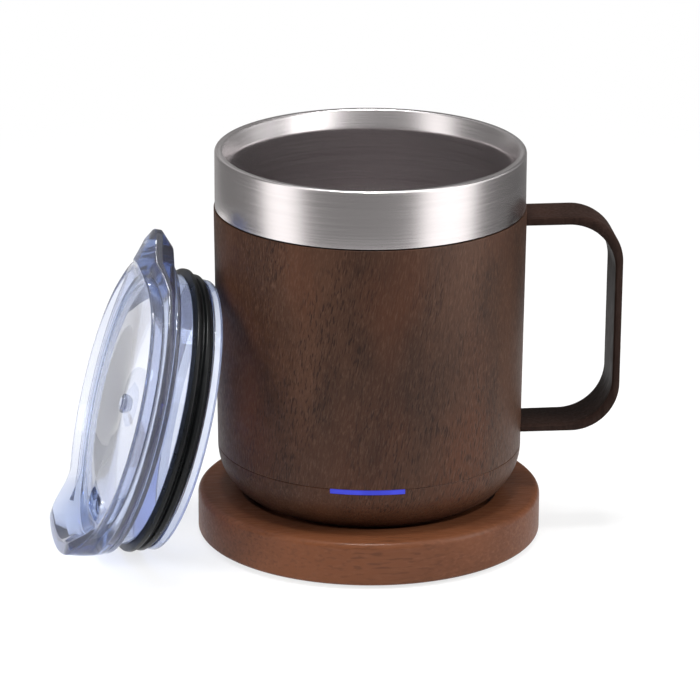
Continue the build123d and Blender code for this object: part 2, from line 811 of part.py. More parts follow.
with BuildPart() as contact_pin_inner:
    add(contact_pin(pin_places[0]))
with BuildPart() as contact_pin_outer:
    add(contact_pin(pin_places[1]))
with BuildPart() as pin_spring_inner:
    add(pin_spring(pin_places[0]))
with BuildPart() as pin_spring_outer:
    add(pin_spring(pin_places[1]))

# Lid, on planes of its own: X runs up its face, heights start at the plug's end and go out of its top
plug_radius = bore_radius - lid_room
barrel_start = lid_lip + gasket_height
lid_flange_z = barrel_start + barrel_height
lid_top = lid_flange_z + lid_flange
plate_start = lid_top - lid_plate
cover_z = lid_top + cover_gap
dish_z = cover_z + cover_floor
cover_rim = cover_z + cover_height
spout_top = cover_rim + spout_rise
lid_flange_radius = mug_radius - lid_flange_inset
cover_radius = lid_flange_radius - cover_inset
spout_radius = cover_radius + spout_lean
gasket_tip = bore_radius + gasket_lip
tilt = math.radians(lid_tilt)
low_points = [
    (plug_radius, 0),
    (gasket_tip, lid_lip + gasket_height / 2),
    (lid_flange_radius, lid_flange_z),
    (cover_radius, cover_rim),
    (spout_radius, spout_top),
]
drops = [radius * math.cos(tilt) - height * math.sin(tilt) for radius, height in low_points]
lid_height = lid_stand + max(drops)
lid_distance = mug_radius + air + plug_radius * math.sin(tilt)
lid_centre = Vector(*polar(lid_distance, lid_azimuth), lid_height)
lid_out = Vector(*polar(math.cos(tilt), lid_azimuth), math.sin(tilt))
lid_up = Vector(*polar(-math.sin(tilt), lid_azimuth), math.cos(tilt))
lid_across = lid_out.cross(lid_up)
lid_plane = Plane(origin=lid_centre, x_dir=lid_up, z_dir=lid_out)
lid_side = Plane(origin=lid_centre, x_dir=lid_up, z_dir=-lid_across)


def sip_slot(low, high):
    """Drinking slot near the spout."""
    with BuildPart() as tool:
        with BuildSketch(lid_plane.offset(low)):
            with Locations((-sip_circle, 0)):
                SlotOverall(sip_width, sip_depth, rotation=90)
        extrude(amount=high - low)
    return tool.part


# Clear plug: lip, gasket groove, barrel, flange and a plate with the drinking slot
groove_bottom = plug_radius - gasket_groove
skirt_inner = groove_bottom - skirt_wall
with BuildPart() as lid_body:
    plug = turned(
        (skirt_inner, 0),
        (plug_radius, 0),
        (plug_radius, lid_lip),
        (groove_bottom, lid_lip),
        (groove_bottom, barrel_start),
        (plug_radius, barrel_start),
        (plug_radius, lid_flange_z),
        (lid_flange_radius, lid_flange_z),
        (lid_flange_radius, lid_top),
        (0, lid_top),
        (0, plate_start),
        (skirt_inner, plate_start),
        axis_plane=lid_side,
    )
    add(plug)
    add(posts([(0, 0)], pivot_radius + slip, plate_start, lid_top, lid_plane), mode=Mode.SUBTRACT)
    add(posts([(sip_circle, 0)], vent_radius, plate_start, lid_top, lid_plane), mode=Mode.SUBTRACT)
    add(sip_slot(plate_start, lid_top), mode=Mode.SUBTRACT)
    add(posts([(0, stop_circle)], stop_radius, lid_top, lid_top + stop_height, lid_plane))

# Gasket with two lips, in the plug's groove
gasket_inner = groove_bottom + slip
gasket_root = gasket_inner + gasket_web
gasket_low = lid_lip + slip
gasket_high = barrel_start - slip
lip_pitch = (gasket_high - gasket_low) / 2
with BuildPart() as lid_gasket:
    lips = turned(
        (gasket_inner, gasket_low),
        (gasket_root, gasket_low),
        (gasket_tip - gasket_step, gasket_low + lip_pitch * lip_start_share),
        (gasket_tip - gasket_step, gasket_low + lip_pitch * lip_end_share),
        (gasket_root, gasket_low + lip_pitch),
        (gasket_tip, gasket_low + lip_pitch + lip_pitch * lip_start_share),
        (gasket_tip, gasket_low + lip_pitch + lip_pitch * lip_end_share),
        (gasket_root, gasket_high),
        (gasket_inner, gasket_high),
        axis_plane=lid_side,
    )
    add(lips)

# Pointed thumb tab: its side view and its plan, crossed
rim_inner = cover_radius - cover_wall
wall_root = cover_radius - cover_flare
dish_radius = wall_root - cover_wall
with BuildPart() as thumb_tab:
    with BuildSketch(lid_side):
        with BuildLine():
            Polyline(
                (dish_radius, cover_z),
                (cover_radius + thumb_foot, cover_z),
                (cover_radius + thumb_reach, cover_rim + thumb_tip),
                (cover_radius, cover_rim + thumb_crown),
                (rim_inner, cover_rim),
                (dish_radius, dish_z),
                close=True,
            )
        make_face()
    extrude(amount=cover_radius, both=True)
    with BuildSketch(lid_plane.offset(cover_z)):
        Circle(lid_flange_radius)
        with Locations((cover_radius + thumb_reach - thumb_round, 0)):
            Circle(thumb_round)
        make_hull()
    extrude(amount=spout_top - cover_z, mode=Mode.INTERSECT)

# Raised spout: a leaning wall on the rim, crossed with its front view
with BuildPart() as spout:
    wall = turned(
        (dish_radius, dish_z),
        (wall_root, dish_z),
        (cover_radius, cover_rim),
        (spout_radius, spout_top),
        (spout_radius - spout_thickness, spout_top),
        (rim_inner, cover_rim),
        axis_plane=lid_side,
    )
    add(wall)
    with BuildSketch(Plane(origin=lid_centre, x_dir=lid_across, z_dir=-lid_up)):
        with BuildLine():
            Polyline(
                (-spout_spread, -dish_z),
                (-spout_spread, -cover_rim),
                (-spout_crest, -spout_top),
                (spout_crest, -spout_top),
                (spout_spread, -cover_rim),
                (spout_spread, -dish_z),
                close=True,
            )
        make_face()
    extrude(amount=spout_radius + overrun, mode=Mode.INTERSECT)

# Cover dish that turns on the plug
with BuildPart() as lid_cover:
    bowl = turned(
        (0, cover_z),
        (lid_flange_radius, cover_z),
        (lid_flange_radius, dish_z),
        (wall_root, dish_z),
        (cover_radius, cover_rim),
        (rim_inner, cover_rim),
        (dish_radius, dish_z),
        (0, dish_z),
        axis_plane=lid_side,
    )
    add(bowl)
    add(spout.part)
    add(thumb_tab.part)
    add(posts([(0, 0)], pivot_radius + running, cover_z, dish_z, lid_plane), mode=Mode.SUBTRACT)
    add(sip_slot(cover_z, dish_z), mode=Mode.SUBTRACT)
    with BuildLine(mode=Mode.PRIVATE) as stop_path:
        CenterArc((0, 0), stop_circle, 90 - stop_angle, stop_angle)
    with BuildSketch(lid_plane.offset(cover_z)):
        SlotArc(arc=stop_path.edge(), height=2 * stop_radius + 2 * air)
    extrude(amount=stop_height + air - cover_gap, mode=Mode.SUBTRACT)

# Rivet that the cover turns on
rivet_seat = dish_z + slip
with BuildPart() as lid_pivot:
    add(posts([(0, 0)], pivot_tail, plate_start - pivot_head_height, plate_start, lid_plane))
    add(posts([(0, 0)], pivot_radius, plate_start, rivet_seat, lid_plane))
    add(posts([(0, 0)], pivot_head, rivet_seat, rivet_seat + pivot_head_height, lid_plane))

pieces = {
    "inner_cup": inner_cup,
    "outer_wall": outer_wall,
    "insulation_wrap": insulation_wrap,
    "wood_sleeve": wood_sleeve,
    "seam_ring": seam_ring,
    "handle": handle,
    "base_cap": base_cap,
    "base_seal": base_seal,
    "light_guide": light_guide,
    "led_strip": led_strip,
    "leds": leds,
    "heat_spreader": heat_spreader,
    "heating_film": heating_film,
    "thermistor": thermistor,
    "insulation_pad": insulation_pad,
    "heater_clamp": heater_clamp,
    "heater_studs": heater_studs,
    "heater_nuts": heater_nuts,
    "heater_leads": heater_leads,
    "battery_cells": battery_cells,
    "battery_leads": battery_leads,
    "chassis": chassis,
    "chassis_screws": chassis_screws,
    "control_board": control_board,
    "board_chips": board_chips,
    "button_switch": button_switch,
    "power_button": power_button,
    "contact_ring_inner": contact_ring_inner,
    "contact_ring_outer": contact_ring_outer,
    "foot_ring": foot_ring,
    "base_screws": base_screws,
    "coaster_body": coaster_body,
    "coaster_insert": coaster_insert,
    "coaster_base": coaster_base,
    "coaster_screws": coaster_screws,
    "coaster_pad": coaster_pad,
    "coaster_board": coaster_board,
    "coaster_chips": coaster_chips,
    "socket_shell": socket_shell,
    "socket_core": socket_core,
    "pin_barrels": pin_barrels,
    "contact_pin_inner": contact_pin_inner,
    "contact_pin_outer": contact_pin_outer,
    "pin_spring_inner": pin_spring_inner,
    "pin_spring_outer": pin_spring_outer,
    "lid_body": lid_body,
    "lid_gasket": lid_gasket,
    "lid_cover": lid_cover,
    "lid_pivot": lid_pivot,
}
for name, piece in pieces.items():
    piece.part.label = name
    export_step(piece.part, f"parts/{name}.step")
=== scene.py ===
import json
import math

import bmesh
import bpy
from mathutils import Matrix, Vector


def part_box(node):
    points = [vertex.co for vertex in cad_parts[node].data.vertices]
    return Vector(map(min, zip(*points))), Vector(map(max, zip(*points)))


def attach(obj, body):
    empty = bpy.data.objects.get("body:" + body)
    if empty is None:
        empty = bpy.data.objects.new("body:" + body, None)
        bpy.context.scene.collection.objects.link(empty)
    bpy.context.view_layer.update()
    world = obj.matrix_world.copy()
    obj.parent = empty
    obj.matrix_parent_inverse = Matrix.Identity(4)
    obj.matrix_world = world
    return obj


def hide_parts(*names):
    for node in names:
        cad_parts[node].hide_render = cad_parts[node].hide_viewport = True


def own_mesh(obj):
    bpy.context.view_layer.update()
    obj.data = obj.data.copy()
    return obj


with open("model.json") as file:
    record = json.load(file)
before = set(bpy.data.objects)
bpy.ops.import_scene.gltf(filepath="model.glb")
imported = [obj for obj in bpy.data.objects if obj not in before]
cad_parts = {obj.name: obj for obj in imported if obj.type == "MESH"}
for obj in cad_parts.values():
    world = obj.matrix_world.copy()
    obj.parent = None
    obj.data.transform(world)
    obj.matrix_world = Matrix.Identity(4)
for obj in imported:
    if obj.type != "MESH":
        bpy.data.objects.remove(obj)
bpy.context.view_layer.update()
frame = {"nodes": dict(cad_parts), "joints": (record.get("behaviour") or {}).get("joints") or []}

scene = bpy.context.scene
scene.view_settings.view_transform = "Standard"
mm = 0.001
print("frame loaded:", len(frame["nodes"]), "CAD nodes")


# places taken from the frame, in millimetres
def lowest(node, axis=2):
    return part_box(node)[0][axis] / mm


def highest(node, axis=2):
    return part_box(node)[1][axis] / mm


def jointNamed(name):
    return next(joint for joint in frame["joints"] if joint["name"] == name)


def newObject(name, data):
    item = bpy.data.objects.new(name, data)
    scene.collection.objects.link(item)
    return item


# small helpers for node trees
def addNode(tree, kind, inputs=None, **settings):
    node = tree.nodes.new(kind)
    for key, value in settings.items():
        setattr(node, key, value)
    for key, value in (inputs or {}).items():
        if isinstance(value, bpy.types.NodeSocket):
            tree.links.new(value, node.inputs[key])
        else:
            node.inputs[key].default_value = value
    return node


def mathNode(tree, operation, first, second=0.5):
    return addNode(tree, "ShaderNodeMath", {0: first, 1: second}, operation=operation).outputs[0]


def vectorNode(tree, operation, inputs, output="Vector"):
    return addNode(tree, "ShaderNodeVectorMath", inputs, operation=operation).outputs[output]


def rangeNode(tree, value, low, high, toLow=0.0, toHigh=1.0):
    sockets = {"Value": value, "From Min": low, "From Max": high, "To Min": toLow, "To Max": toHigh}
    return addNode(tree, "ShaderNodeMapRange", sockets).outputs["Result"]


def mixColor(tree, factor, first, second):
    return addNode(tree, "ShaderNodeMix", {0: factor, 6: first, 7: second}, data_type="RGBA").outputs[2]


def stretched(tree, vector, scale, turn=(0, 0, 0)):
    return addNode(tree, "ShaderNodeMapping", {"Vector": vector, "Scale": scale, "Rotation": turn}).outputs[0]


def noiseNode(tree, vector, scale, detail=3.0, rough=0.55, bend=0.0):
    sockets = {"Vector": vector, "Scale": scale, "Detail": detail, "Roughness": rough, "Distortion": bend}
    return addNode(tree, "ShaderNodeTexNoise", sockets).outputs["Fac"]


def newGroup(name, inputs):
    group = bpy.data.node_groups.new(name, "ShaderNodeTree")
    for label, kind, value in inputs:
        socket = group.interface.new_socket(label, in_out="INPUT", socket_type="NodeSocket" + kind)
        if value is not None:
            socket.default_value = value
    for label, kind in (("Color", "Color"), ("Roughness", "Float"), ("Height", "Float")):
        group.interface.new_socket(label, in_out="OUTPUT", socket_type="NodeSocket" + kind)
    return group, group.nodes.new("NodeGroupInput").outputs, group.nodes.new("NodeGroupOutput").inputs


def newMaterial(name, **settings):
    material = bpy.data.materials.new(name)
    material.use_nodes = True
    shader = material.node_tree.nodes["Principled BSDF"]
    for key, value in settings.items():
        shader.inputs[key.replace("_", " ")].default_value = value
    return material, material.node_tree, shader


def objectCoords(tree):
    return addNode(tree, "ShaderNodeTexCoord").outputs["Object"]


def bumpInto(tree, shader, height, strength, distance):
    bump = addNode(tree, "ShaderNodeBump", {"Height": height, "Strength": strength, "Distance": distance})
    tree.links.new(bump.outputs["Normal"], shader.inputs["Normal"])


# effects that several finishes share
def makeGrainGroup():
    group, given, put = newGroup(
        "woodGrain",
        [
            ("Vector", "Vector", None),
            ("Dark", "Color", (0.03, 0.015, 0.01, 1)),
            ("Middle", "Color", (0.06, 0.03, 0.02, 1)),
            ("Light", "Color", (0.10, 0.06, 0.04, 1)),
            ("Warm", "Color", (0.08, 0.03, 0.015, 1)),
            ("Band Scale", "Float", 60.0),
            ("Fleck Scale", "Float", 1500.0),
        ],
    )
    bandVector = stretched(group, given["Vector"], (1, 1, 0.3))
    patchVector = stretched(group, given["Vector"], (0.8, 0.8, 0.45), (0, 0.4, 1.1))
    fleckVector = stretched(group, given["Vector"], (1, 1, 0.2))
    threadVector = stretched(group, given["Vector"], (1, 1, 0.03))
    poreVector = stretched(group, given["Vector"], (1.1, 1.1, 0.16), (0.05, 0.03, 0))
    clusterVector = stretched(group, given["Vector"], (1.4, 1.4, 0.5), (0.3, 0, 0.7))
    broad = noiseNode(group, bandVector, given["Band Scale"], 2.0, 0.5, 0.6)
    patch = noiseNode(group, patchVector, given["Band Scale"], 1.0)
    fleck = noiseNode(group, fleckVector, given["Fleck Scale"], 2.0, 0.6, 0.3)
    thread = noiseNode(group, threadVector, given["Fleck Scale"], 3.0, 0.6, 0.1)
    pore = noiseNode(group, poreVector, given["Fleck Scale"], 1.0, 0.5, 0.2)
    cluster = noiseNode(group, clusterVector, given["Band Scale"], 1.0)
    base = mixColor(group, rangeNode(group, broad, 0.3, 0.7), given["Dark"], given["Middle"])
    warm = mixColor(group, rangeNode(group, patch, 0.48, 0.72, 0.0, 0.75), base, given["Warm"])
    worn = mixColor(group, rangeNode(group, thread, 0.4, 0.65, 0.0, 0.45), warm, given["Middle"])
    lit = mixColor(group, rangeNode(group, fleck, 0.5, 0.78, 0.0, 0.6), worn, given["Light"])
    crowd = rangeNode(group, cluster, 0.42, 0.62, 0.25, 1.0)
    poreMask = mathNode(group, "MULTIPLY", rangeNode(group, pore, 0.53, 0.66, 0.0, 0.85), crowd)
    group.links.new(mixColor(group, poreMask, lit, given["Dark"]), put["Color"])
    group.links.new(rangeNode(group, fleck, 0.3, 0.7, 0.60, 0.46), put["Roughness"])
    height = mathNode(group, "SUBTRACT", mathNode(group, "MULTIPLY", fleck, 0.7), poreMask)
    group.links.new(height, put["Height"])
    return group


def makeBrushGroup():
    group, given, put = newGroup(
        "brushLines",
        [
            ("Vector", "Vector", None),
            ("Lines", "Vector", (6, 6, 900)),
            ("Color", "Color", (0.6, 0.6, 0.6, 1)),
            ("Shade", "Color", (0.4, 0.4, 0.4, 1)),
        ],
    )
    mapped = vectorNode(group, "MULTIPLY", {0: given["Vector"], 1: given["Lines"]})
    fine = noiseNode(group, mapped, 4.0, 4.0, 0.7)
    broad = noiseNode(group, mapped, 0.9, 2.0, 0.5)
    mixed = mathNode(group, "ADD", mathNode(group, "MULTIPLY", fine, 0.6),
                     mathNode(group, "MULTIPLY", broad, 0.4))
    share = rangeNode(group, mixed, 0.35, 0.65)
    group.links.new(mixColor(group, share, given["Shade"], given["Color"]), put["Color"])
    group.links.new(rangeNode(group, fine, 0.3, 0.7, 0.20, 0.27), put["Roughness"])
    group.links.new(mixed, put["Height"])
    return group


def makeSpeckleGroup():
    group, given, put = newGroup(
        "mouldSpeckle",
        [
            ("Vector", "Vector", None),
            ("Color", "Color", (0.03, 0.03, 0.03, 1)),
            ("Dust", "Color", (0.06, 0.06, 0.06, 1)),
            ("Grain Scale", "Float", 2500.0),
            ("Low", "Float", 0.4),
            ("High", "Float", 0.55),
        ],
    )
    grain = noiseNode(group, given["Vector"], given["Grain Scale"], 2.0, 0.6)
    cloud = noiseNode(group, given["Vector"], 90.0, 3.0, 0.6)
    dust = mathNode(group, "MULTIPLY", rangeNode(group, cloud, 0.45, 0.75), rangeNode(group, grain, 0.4, 0.8))
    group.links.new(mixColor(group, dust, given["Color"], given["Dust"]), put["Color"])
    group.links.new(rangeNode(group, cloud, 0.3, 0.7, given["Low"], given["High"]), put["Roughness"])
    group.links.new(grain, put["Height"])
    return group


woodGrain, brushLines, mouldSpeckle = makeGrainGroup(), makeBrushGroup(), makeSpeckleGroup()


def useGroup(tree, shader, group, **sockets):
    inputs = {key.replace("_", " "): value for key, value in sockets.items()}
    node = addNode(tree, "ShaderNodeGroup", inputs, node_tree=group)
    tree.links.new(node.outputs["Color"], shader.inputs["Base Color"])
    tree.links.new(node.outputs["Roughness"], shader.inputs["Roughness"])
    return node.outputs["Height"]


walnutFilm = {
    "Dark": (0.013, 0.0050, 0.0025, 1),
    "Middle": (0.049, 0.0205, 0.0105, 1),
    "Light": (0.086, 0.0430, 0.0250, 1),
    "Warm": (0.060, 0.0180, 0.0064, 1),
    "Band_Scale": 50.0,
    "Fleck_Scale": 2200.0,
}
walnutCoat = {
    "Dark": (0.0120, 0.0058, 0.0042, 1),
    "Middle": (0.0210, 0.0108, 0.0080, 1),
    "Light": (0.0320, 0.0180, 0.0140, 1),
    "Warm": (0.0235, 0.0105, 0.0072, 1),
    "Band_Scale": 70.0,
    "Fleck_Scale": 1100.0,
}
coasterWood = {
    "Dark": (0.076, 0.0265, 0.0116, 1),
    "Middle": (0.112, 0.0400, 0.0175, 1),
    "Light": (0.135, 0.0510, 0.0240, 1),
    "Warm": (0.124, 0.0415, 0.0160, 1),
    "Band_Scale": 38.0,
    "Fleck_Scale": 1100.0,
}


def makeWood(name, values, turn=(0, 0, 0), bump=0.25, **settings):
    material, tree, shader = newMaterial(name, **settings)
    vector = stretched(tree, objectCoords(tree), (1, 1, 1), turn)
    height = useGroup(tree, shader, woodGrain, Vector=vector, **values)
    bumpInto(tree, shader, height, strength=bump, distance=0.0002)
    return material


def makeBrushed(name, color, shade, lines, **settings):
    material, tree, shader = newMaterial(name, Metallic=1.0, **settings)
    height = useGroup(
        tree, shader, brushLines, Vector=objectCoords(tree), Lines=lines, Color=(*color, 1), Shade=(*shade, 1)
    )
    bumpInto(tree, shader, height, strength=0.045, distance=0.0001)
    return material, tree, shader


def makeMoulded(name, color, dust, grain, rough, bump, **settings):
    material, tree, shader = newMaterial(name, **settings)
    height = useGroup(
        tree, shader, mouldSpeckle, Vector=objectCoords(tree), Color=(*color, 1), Dust=(*dust, 1),
        Grain_Scale=grain, Low=rough[0], High=rough[1]
    )
    bumpInto(tree, shader, height, strength=bump, distance=0.0001)
    return material


steelFinish, steelTree, steelShader = makeBrushed(
    "brushedSteel", (0.71, 0.675, 0.68), (0.66, 0.625, 0.63), (5, 5, 850), Anisotropic=0.7
)
tangent = addNode(steelTree, "ShaderNodeTangent", direction_type="RADIAL", axis="Z")
steelTree.links.new(tangent.outputs[0], steelShader.inputs["Tangent"])
filmFinish = makeWood("walnutFilm", walnutFilm, (0, math.radians(-10), 0), Specular_IOR_Level=0.2)
baseFinish = makeWood("walnutFilmBase", walnutFilm, (0, math.radians(-14), 0), Specular_IOR_Level=0.2)
handleFinish = makeWood(
    "walnutCoat", walnutCoat, bump=0.1, Specular_IOR_Level=0.05, Coat_Weight=0.03, Coat_Roughness=0.2
)
coasterFinish = makeWood(
    "oiledWalnut", coasterWood, (0, math.radians(90), 0), 0.08,
    Specular_IOR_Level=0.10, Coat_Weight=0.16, Coat_Roughness=0.2
)
gasketFinish = makeMoulded(
    "blackSilicone", (0.005, 0.0056, 0.006), (0.016, 0.016, 0.017), 1800.0, (0.24, 0.36), 0.05,
    Specular_IOR_Level=0.16
)
seatFinish = makeMoulded("frostedSeat", (0.92, 0.92, 0.95), (0.86, 0.86, 0.90), 2200.0, (0.6, 0.8), 0.1)
rubberFinish = makeMoulded("footSilicone", (0.016, 0.016, 0.017), (0.05, 0.05, 0.05), 2600.0, (0.5, 0.7), 0.2)
blackFinish = makeMoulded(
    "blackMoulding", (0.020, 0.020, 0.021), (0.05, 0.05, 0.05), 2400.0, (0.38, 0.55), 0.2
)
boardFinish = makeMoulded("boardGreen", (0.012, 0.09, 0.035), (0.03, 0.16, 0.07), 900.0, (0.3, 0.45), 0.2)
chipFinish = makeMoulded("chipBlack", (0.012, 0.012, 0.013), (0.04, 0.04, 0.042), 3200.0, (0.3, 0.45), 0.1)
ledFinish = makeMoulded("ledPackage", (0.75, 0.74, 0.66), (0.62, 0.6, 0.45), 1500.0, (0.25, 0.4), 0.1)
amberFinish = makeMoulded("amberFilm", (0.50, 0.20, 0.03), (0.60, 0.28, 0.06), 700.0, (0.2, 0.3), 0.1)
feltFinish = makeMoulded("whiteFelt", (0.72, 0.72, 0.69), (0.60, 0.60, 0.57), 1600.0, (0.8, 0.95), 0.6)
leadFinish = makeMoulded("redLead", (0.32, 0.012, 0.010), (0.42, 0.05, 0.04), 1400.0, (0.35, 0.5), 0.1)
goldFinish = makeBrushed("contactGold", (0.80, 0.55, 0.20), (0.62, 0.40, 0.13), (60, 60, 60))[0]
screwFinish = makeBrushed("platedSteel", (0.55, 0.55, 0.54), (0.36, 0.36, 0.36), (90, 90, 300))[0]
plateFinish = makeBrushed("rolledPlate", (0.70, 0.70, 0.72), (0.55, 0.55, 0.57), (400, 8, 8))[0]
foilFinish = makeBrushed("foilWrap", (0.72, 0.73, 0.74), (0.50, 0.51, 0.52), (120, 120, 120))[0]


# clear plastic with a faint milk in it, bluer where it is thick
def makeClear(name, color, tint, density, shadow):
    material, tree, shader = newMaterial(
        name, Base_Color=(*color, 1), Transmission_Weight=0.95, IOR=1.49, Roughness=0.01
    )
    flow = noiseNode(tree, objectCoords(tree), 45.0, 2.0, 0.5, 1.0)
    bumpInto(tree, shader, flow, strength=0.06, distance=0.0004)
    output = tree.nodes["Material Output"]
    path = addNode(tree, "ShaderNodeLightPath")
    clear = addNode(tree, "ShaderNodeBsdfTransparent", {"Color": (*shadow, 1)})
    mixed = addNode(tree, "ShaderNodeMixShader", {0: path.outputs["Is Shadow Ray"]})
    tree.links.new(shader.outputs[0], mixed.inputs[1])
    tree.links.new(clear.outputs[0], mixed.inputs[2])
    tree.links.new(mixed.outputs[0], output.inputs["Surface"])
    depth = addNode(tree, "ShaderNodeVolumeAbsorption", {"Color": (*tint, 1), "Density": density})
    tree.links.new(depth.outputs[0], output.inputs["Volume"])
    return material


clearFinish = makeClear(
    "clearMoulding", (0.92, 0.918, 0.955), tint=(0.12, 0.31, 0.64), density=105.0, shadow=(0.90, 0.905, 0.935)
)


def makeLight():
    material, tree, shader = newMaterial(
        "blueLight", Base_Color=(0.010, 0.012, 0.06, 1), Roughness=0.35, Specular_IOR_Level=0.08,
        Emission_Strength=1.0
    )
    glow = noiseNode(tree, objectCoords(tree), 220.0, 1.0, 0.5)
    deep, bright = (0.038, 0.046, 0.50, 1), (0.052, 0.062, 0.62, 1)
    lit = mixColor(tree, rangeNode(tree, glow, 0.3, 0.7), deep, bright)
    tree.links.new(lit, shader.inputs["Emission Color"])
    return material


lightFinish = makeLight()
print("finishes made:", len(bpy.data.materials))


# mesh helpers, in millimetres: a corner is (across, up) or (across, up, rounding)
def roundedOutline(corners, closed, steps):
    points, count = [], len(corners)
    nearlyStraight, sideShare, lineShare = 1.55, 0.49, 0.3
    for index, corner in enumerate(corners):
        here = Vector(corner[:2])
        radius = corner[2] if len(corner) > 2 else 0.0
        if radius <= 0 or (not closed and index in (0, count - 1)):
            points.append(here)
            continue
        before = Vector(corners[index - 1][:2]) - here
        after = Vector(corners[(index + 1) % count][:2]) - here
        half = before.angle(after) / 2
        if half > nearlyStraight:  # its points only spread along the line
            span = min(radius, before.length * lineShare, after.length * lineShare)
            for step in range(steps + 1):
                share = 1 - 2 * step / steps
                points.append(here + (before if share > 0 else after).normalized() * span * abs(share))
            continue
        reach = min(radius / math.tan(half), before.length * sideShare, after.length * sideShare)
        radius = reach * math.tan(half)
        middle = here + (before.normalized() + after.normalized()).normalized() * radius / math.sin(half)
        start = here + before.normalized() * reach - middle
        sweep = start.angle_signed(here + after.normalized() * reach - middle)
        for step in range(steps + 1):
            turn = -sweep * step / steps
            turned = Vector((start.x * math.cos(turn) - start.y * math.sin(turn),
                             start.x * math.sin(turn) + start.y * math.cos(turn)))
            points.append(middle + turned)
    return points


def skin(mesh, sharp=32, closed=False):
    work = bmesh.new()
    work.from_mesh(mesh)
    bmesh.ops.remove_doubles(work, verts=work.verts, dist=1e-7)
    if closed:
        bmesh.ops.holes_fill(work, edges=work.edges)
    bmesh.ops.recalc_face_normals(work, faces=work.faces)
    work.to_mesh(mesh)
    work.free()
    mesh.shade_smooth()
    mesh.set_sharp_from_angle(angle=math.radians(sharp))


def addPiece(name, vertices, faces, material, matrix=None):
    mesh = bpy.data.meshes.new(name)
    mesh.from_pydata([(x * mm, y * mm, z * mm) for x, y, z in vertices], [], faces)
    if matrix is not None:
        mesh.transform(matrix)
    mesh.materials.append(material)
    skin(mesh)
    return newObject(name, mesh)


def ringFaces(around, along, wrapAlong):
    faces = []
    for i in range(around):
        j = (i + 1) % around
        for k in range(along if wrapAlong else along - 1):
            n = (k + 1) % along
            faces.append((i * along + k, j * along + k, j * along + n, i * along + n))
    return faces


def turnedPiece(name, corners, material, closed=True, around=224, steps=5, matrix=None):
    outline = roundedOutline(corners, closed, steps)
    vertices = []
    for i in range(around):
        turn = 2 * math.pi * i / around
        vertices += [(p.x * math.cos(turn), p.x * math.sin(turn), p.y) for p in outline]
    return addPiece(name, vertices, ringFaces(around, len(outline), closed), material, matrix)


def prism(name, outline, low, high, matrix=None):
    count = len(outline)
    vertices = [(p[0], p[1], low) for p in outline] + [(p[0], p[1], high) for p in outline]
    faces = [tuple(reversed(range(count))), tuple(range(count, 2 * count))]
    faces += [(i, (i + 1) % count, count + (i + 1) % count, count + i) for i in range(count)]
    return addPiece(name, vertices, faces, blackFinish, matrix)


def plainMesh(item):
    bpy.context.view_layer.update()
    graph = bpy.context.evaluated_depsgraph_get()
    return bpy.data.meshes.new_from_object(item.evaluated_get(graph))


def cutAway(piece, tools, sharp=32):
    for tool in tools:
        cut = piece.modifiers.new("cut", "BOOLEAN")
        cut.operation, cut.solver, cut.object = "DIFFERENCE", "EXACT", tool
        old = piece.data
        piece.data = plainMesh(piece)
        bpy.data.meshes.remove(old)
        piece.modifiers.remove(cut)
        bpy.data.objects.remove(tool)
    skin(piece.data, sharp)


def slotOutline(width, height, middle=(0, 0), steps=12):
    radius, reach = height / 2, (width - height) / 2
    ends = []
    for side in (1, -1):
        for step in range(steps + 1):
            turn = math.pi * (step / steps - 0.5)
            across = reach + radius * math.cos(turn)
            ends.append((middle[0] + side * across, middle[1] + side * radius * math.sin(turn)))
    return ends


def settle(piece, body, slot, *nodes):
    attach(piece, body)
    if nodes:
        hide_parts(*nodes)
    return piece


# steel cup, rolled rim, bare band and neck in one welded shell
steel = {
    "bore": 39.8, "sheet": 0.7, "rim": highest("inner_cup"), "lip": 2.1, "drop": 5.0, "curl": 1.6,
    "radius": highest("outer_wall", 0), "band": highest("seam_ring"), "bottom": lowest("inner_cup"),
    "corner": 6.0, "neck": 42.0, "flange": 31.6, "foot": lowest("outer_wall"), "flangeSheet": 0.8,
}


def makeSteelShell(s):
    floor, footTop = s["bottom"] + s["sheet"], s["foot"] + s["flangeSheet"]
    outer, wall = s["bore"] + s["sheet"], s["neck"] - s["sheet"]
    side, slope = s["radius"] - s["sheet"], s["rim"] - s["drop"]
    corners = [
        (0, floor), (s["bore"], floor, s["corner"]), (s["bore"], slope, 4.0),
        (s["radius"] - s["lip"], s["rim"], 0.8), (s["radius"], s["rim"], 0.9), (s["radius"], s["band"], 0.12),
        (s["neck"], s["band"]), (s["neck"], s["foot"], 0.4), (s["flange"], s["foot"], 0.2),
        (s["flange"], footTop, 0.2), (wall, footTop), (wall, s["band"] + s["sheet"]),
        (side, s["band"] + s["sheet"]), (side, s["rim"] - s["curl"]), (outer, slope),
        (outer, floor - s["sheet"], s["corner"] + s["sheet"]), (0, floor - s["sheet"]),
    ]
    return turnedPiece("steelShell", corners, steelFinish, closed=False, steps=6)


settle(makeSteelShell(steel), "mug", "brushed_steel", "inner_cup", "outer_wall")

# wood-grain sleeve, open where the handle's arms pass
sleeve = {
    "bore": 42.1, "low": lowest("wood_sleeve"), "high": highest("wood_sleeve"), "radius": 44.3,
    "lowRadius": 43.4, "edge": 0.25, "lowEdge": 0.2, "overrun": 3.0,
}
strip = {
    "width": 15.5, "thickness": 2.3, "edge": 0.7, "bend": 15.0, "corner": 13.8, "start": 41.6, "lean": 0.5,
    "outer": highest("handle", 0), "top": highest("handle"), "bottom": lowest("handle"), "slip": 0.1,
    "bendSteps": 24, "sectionPoints": 49,
}


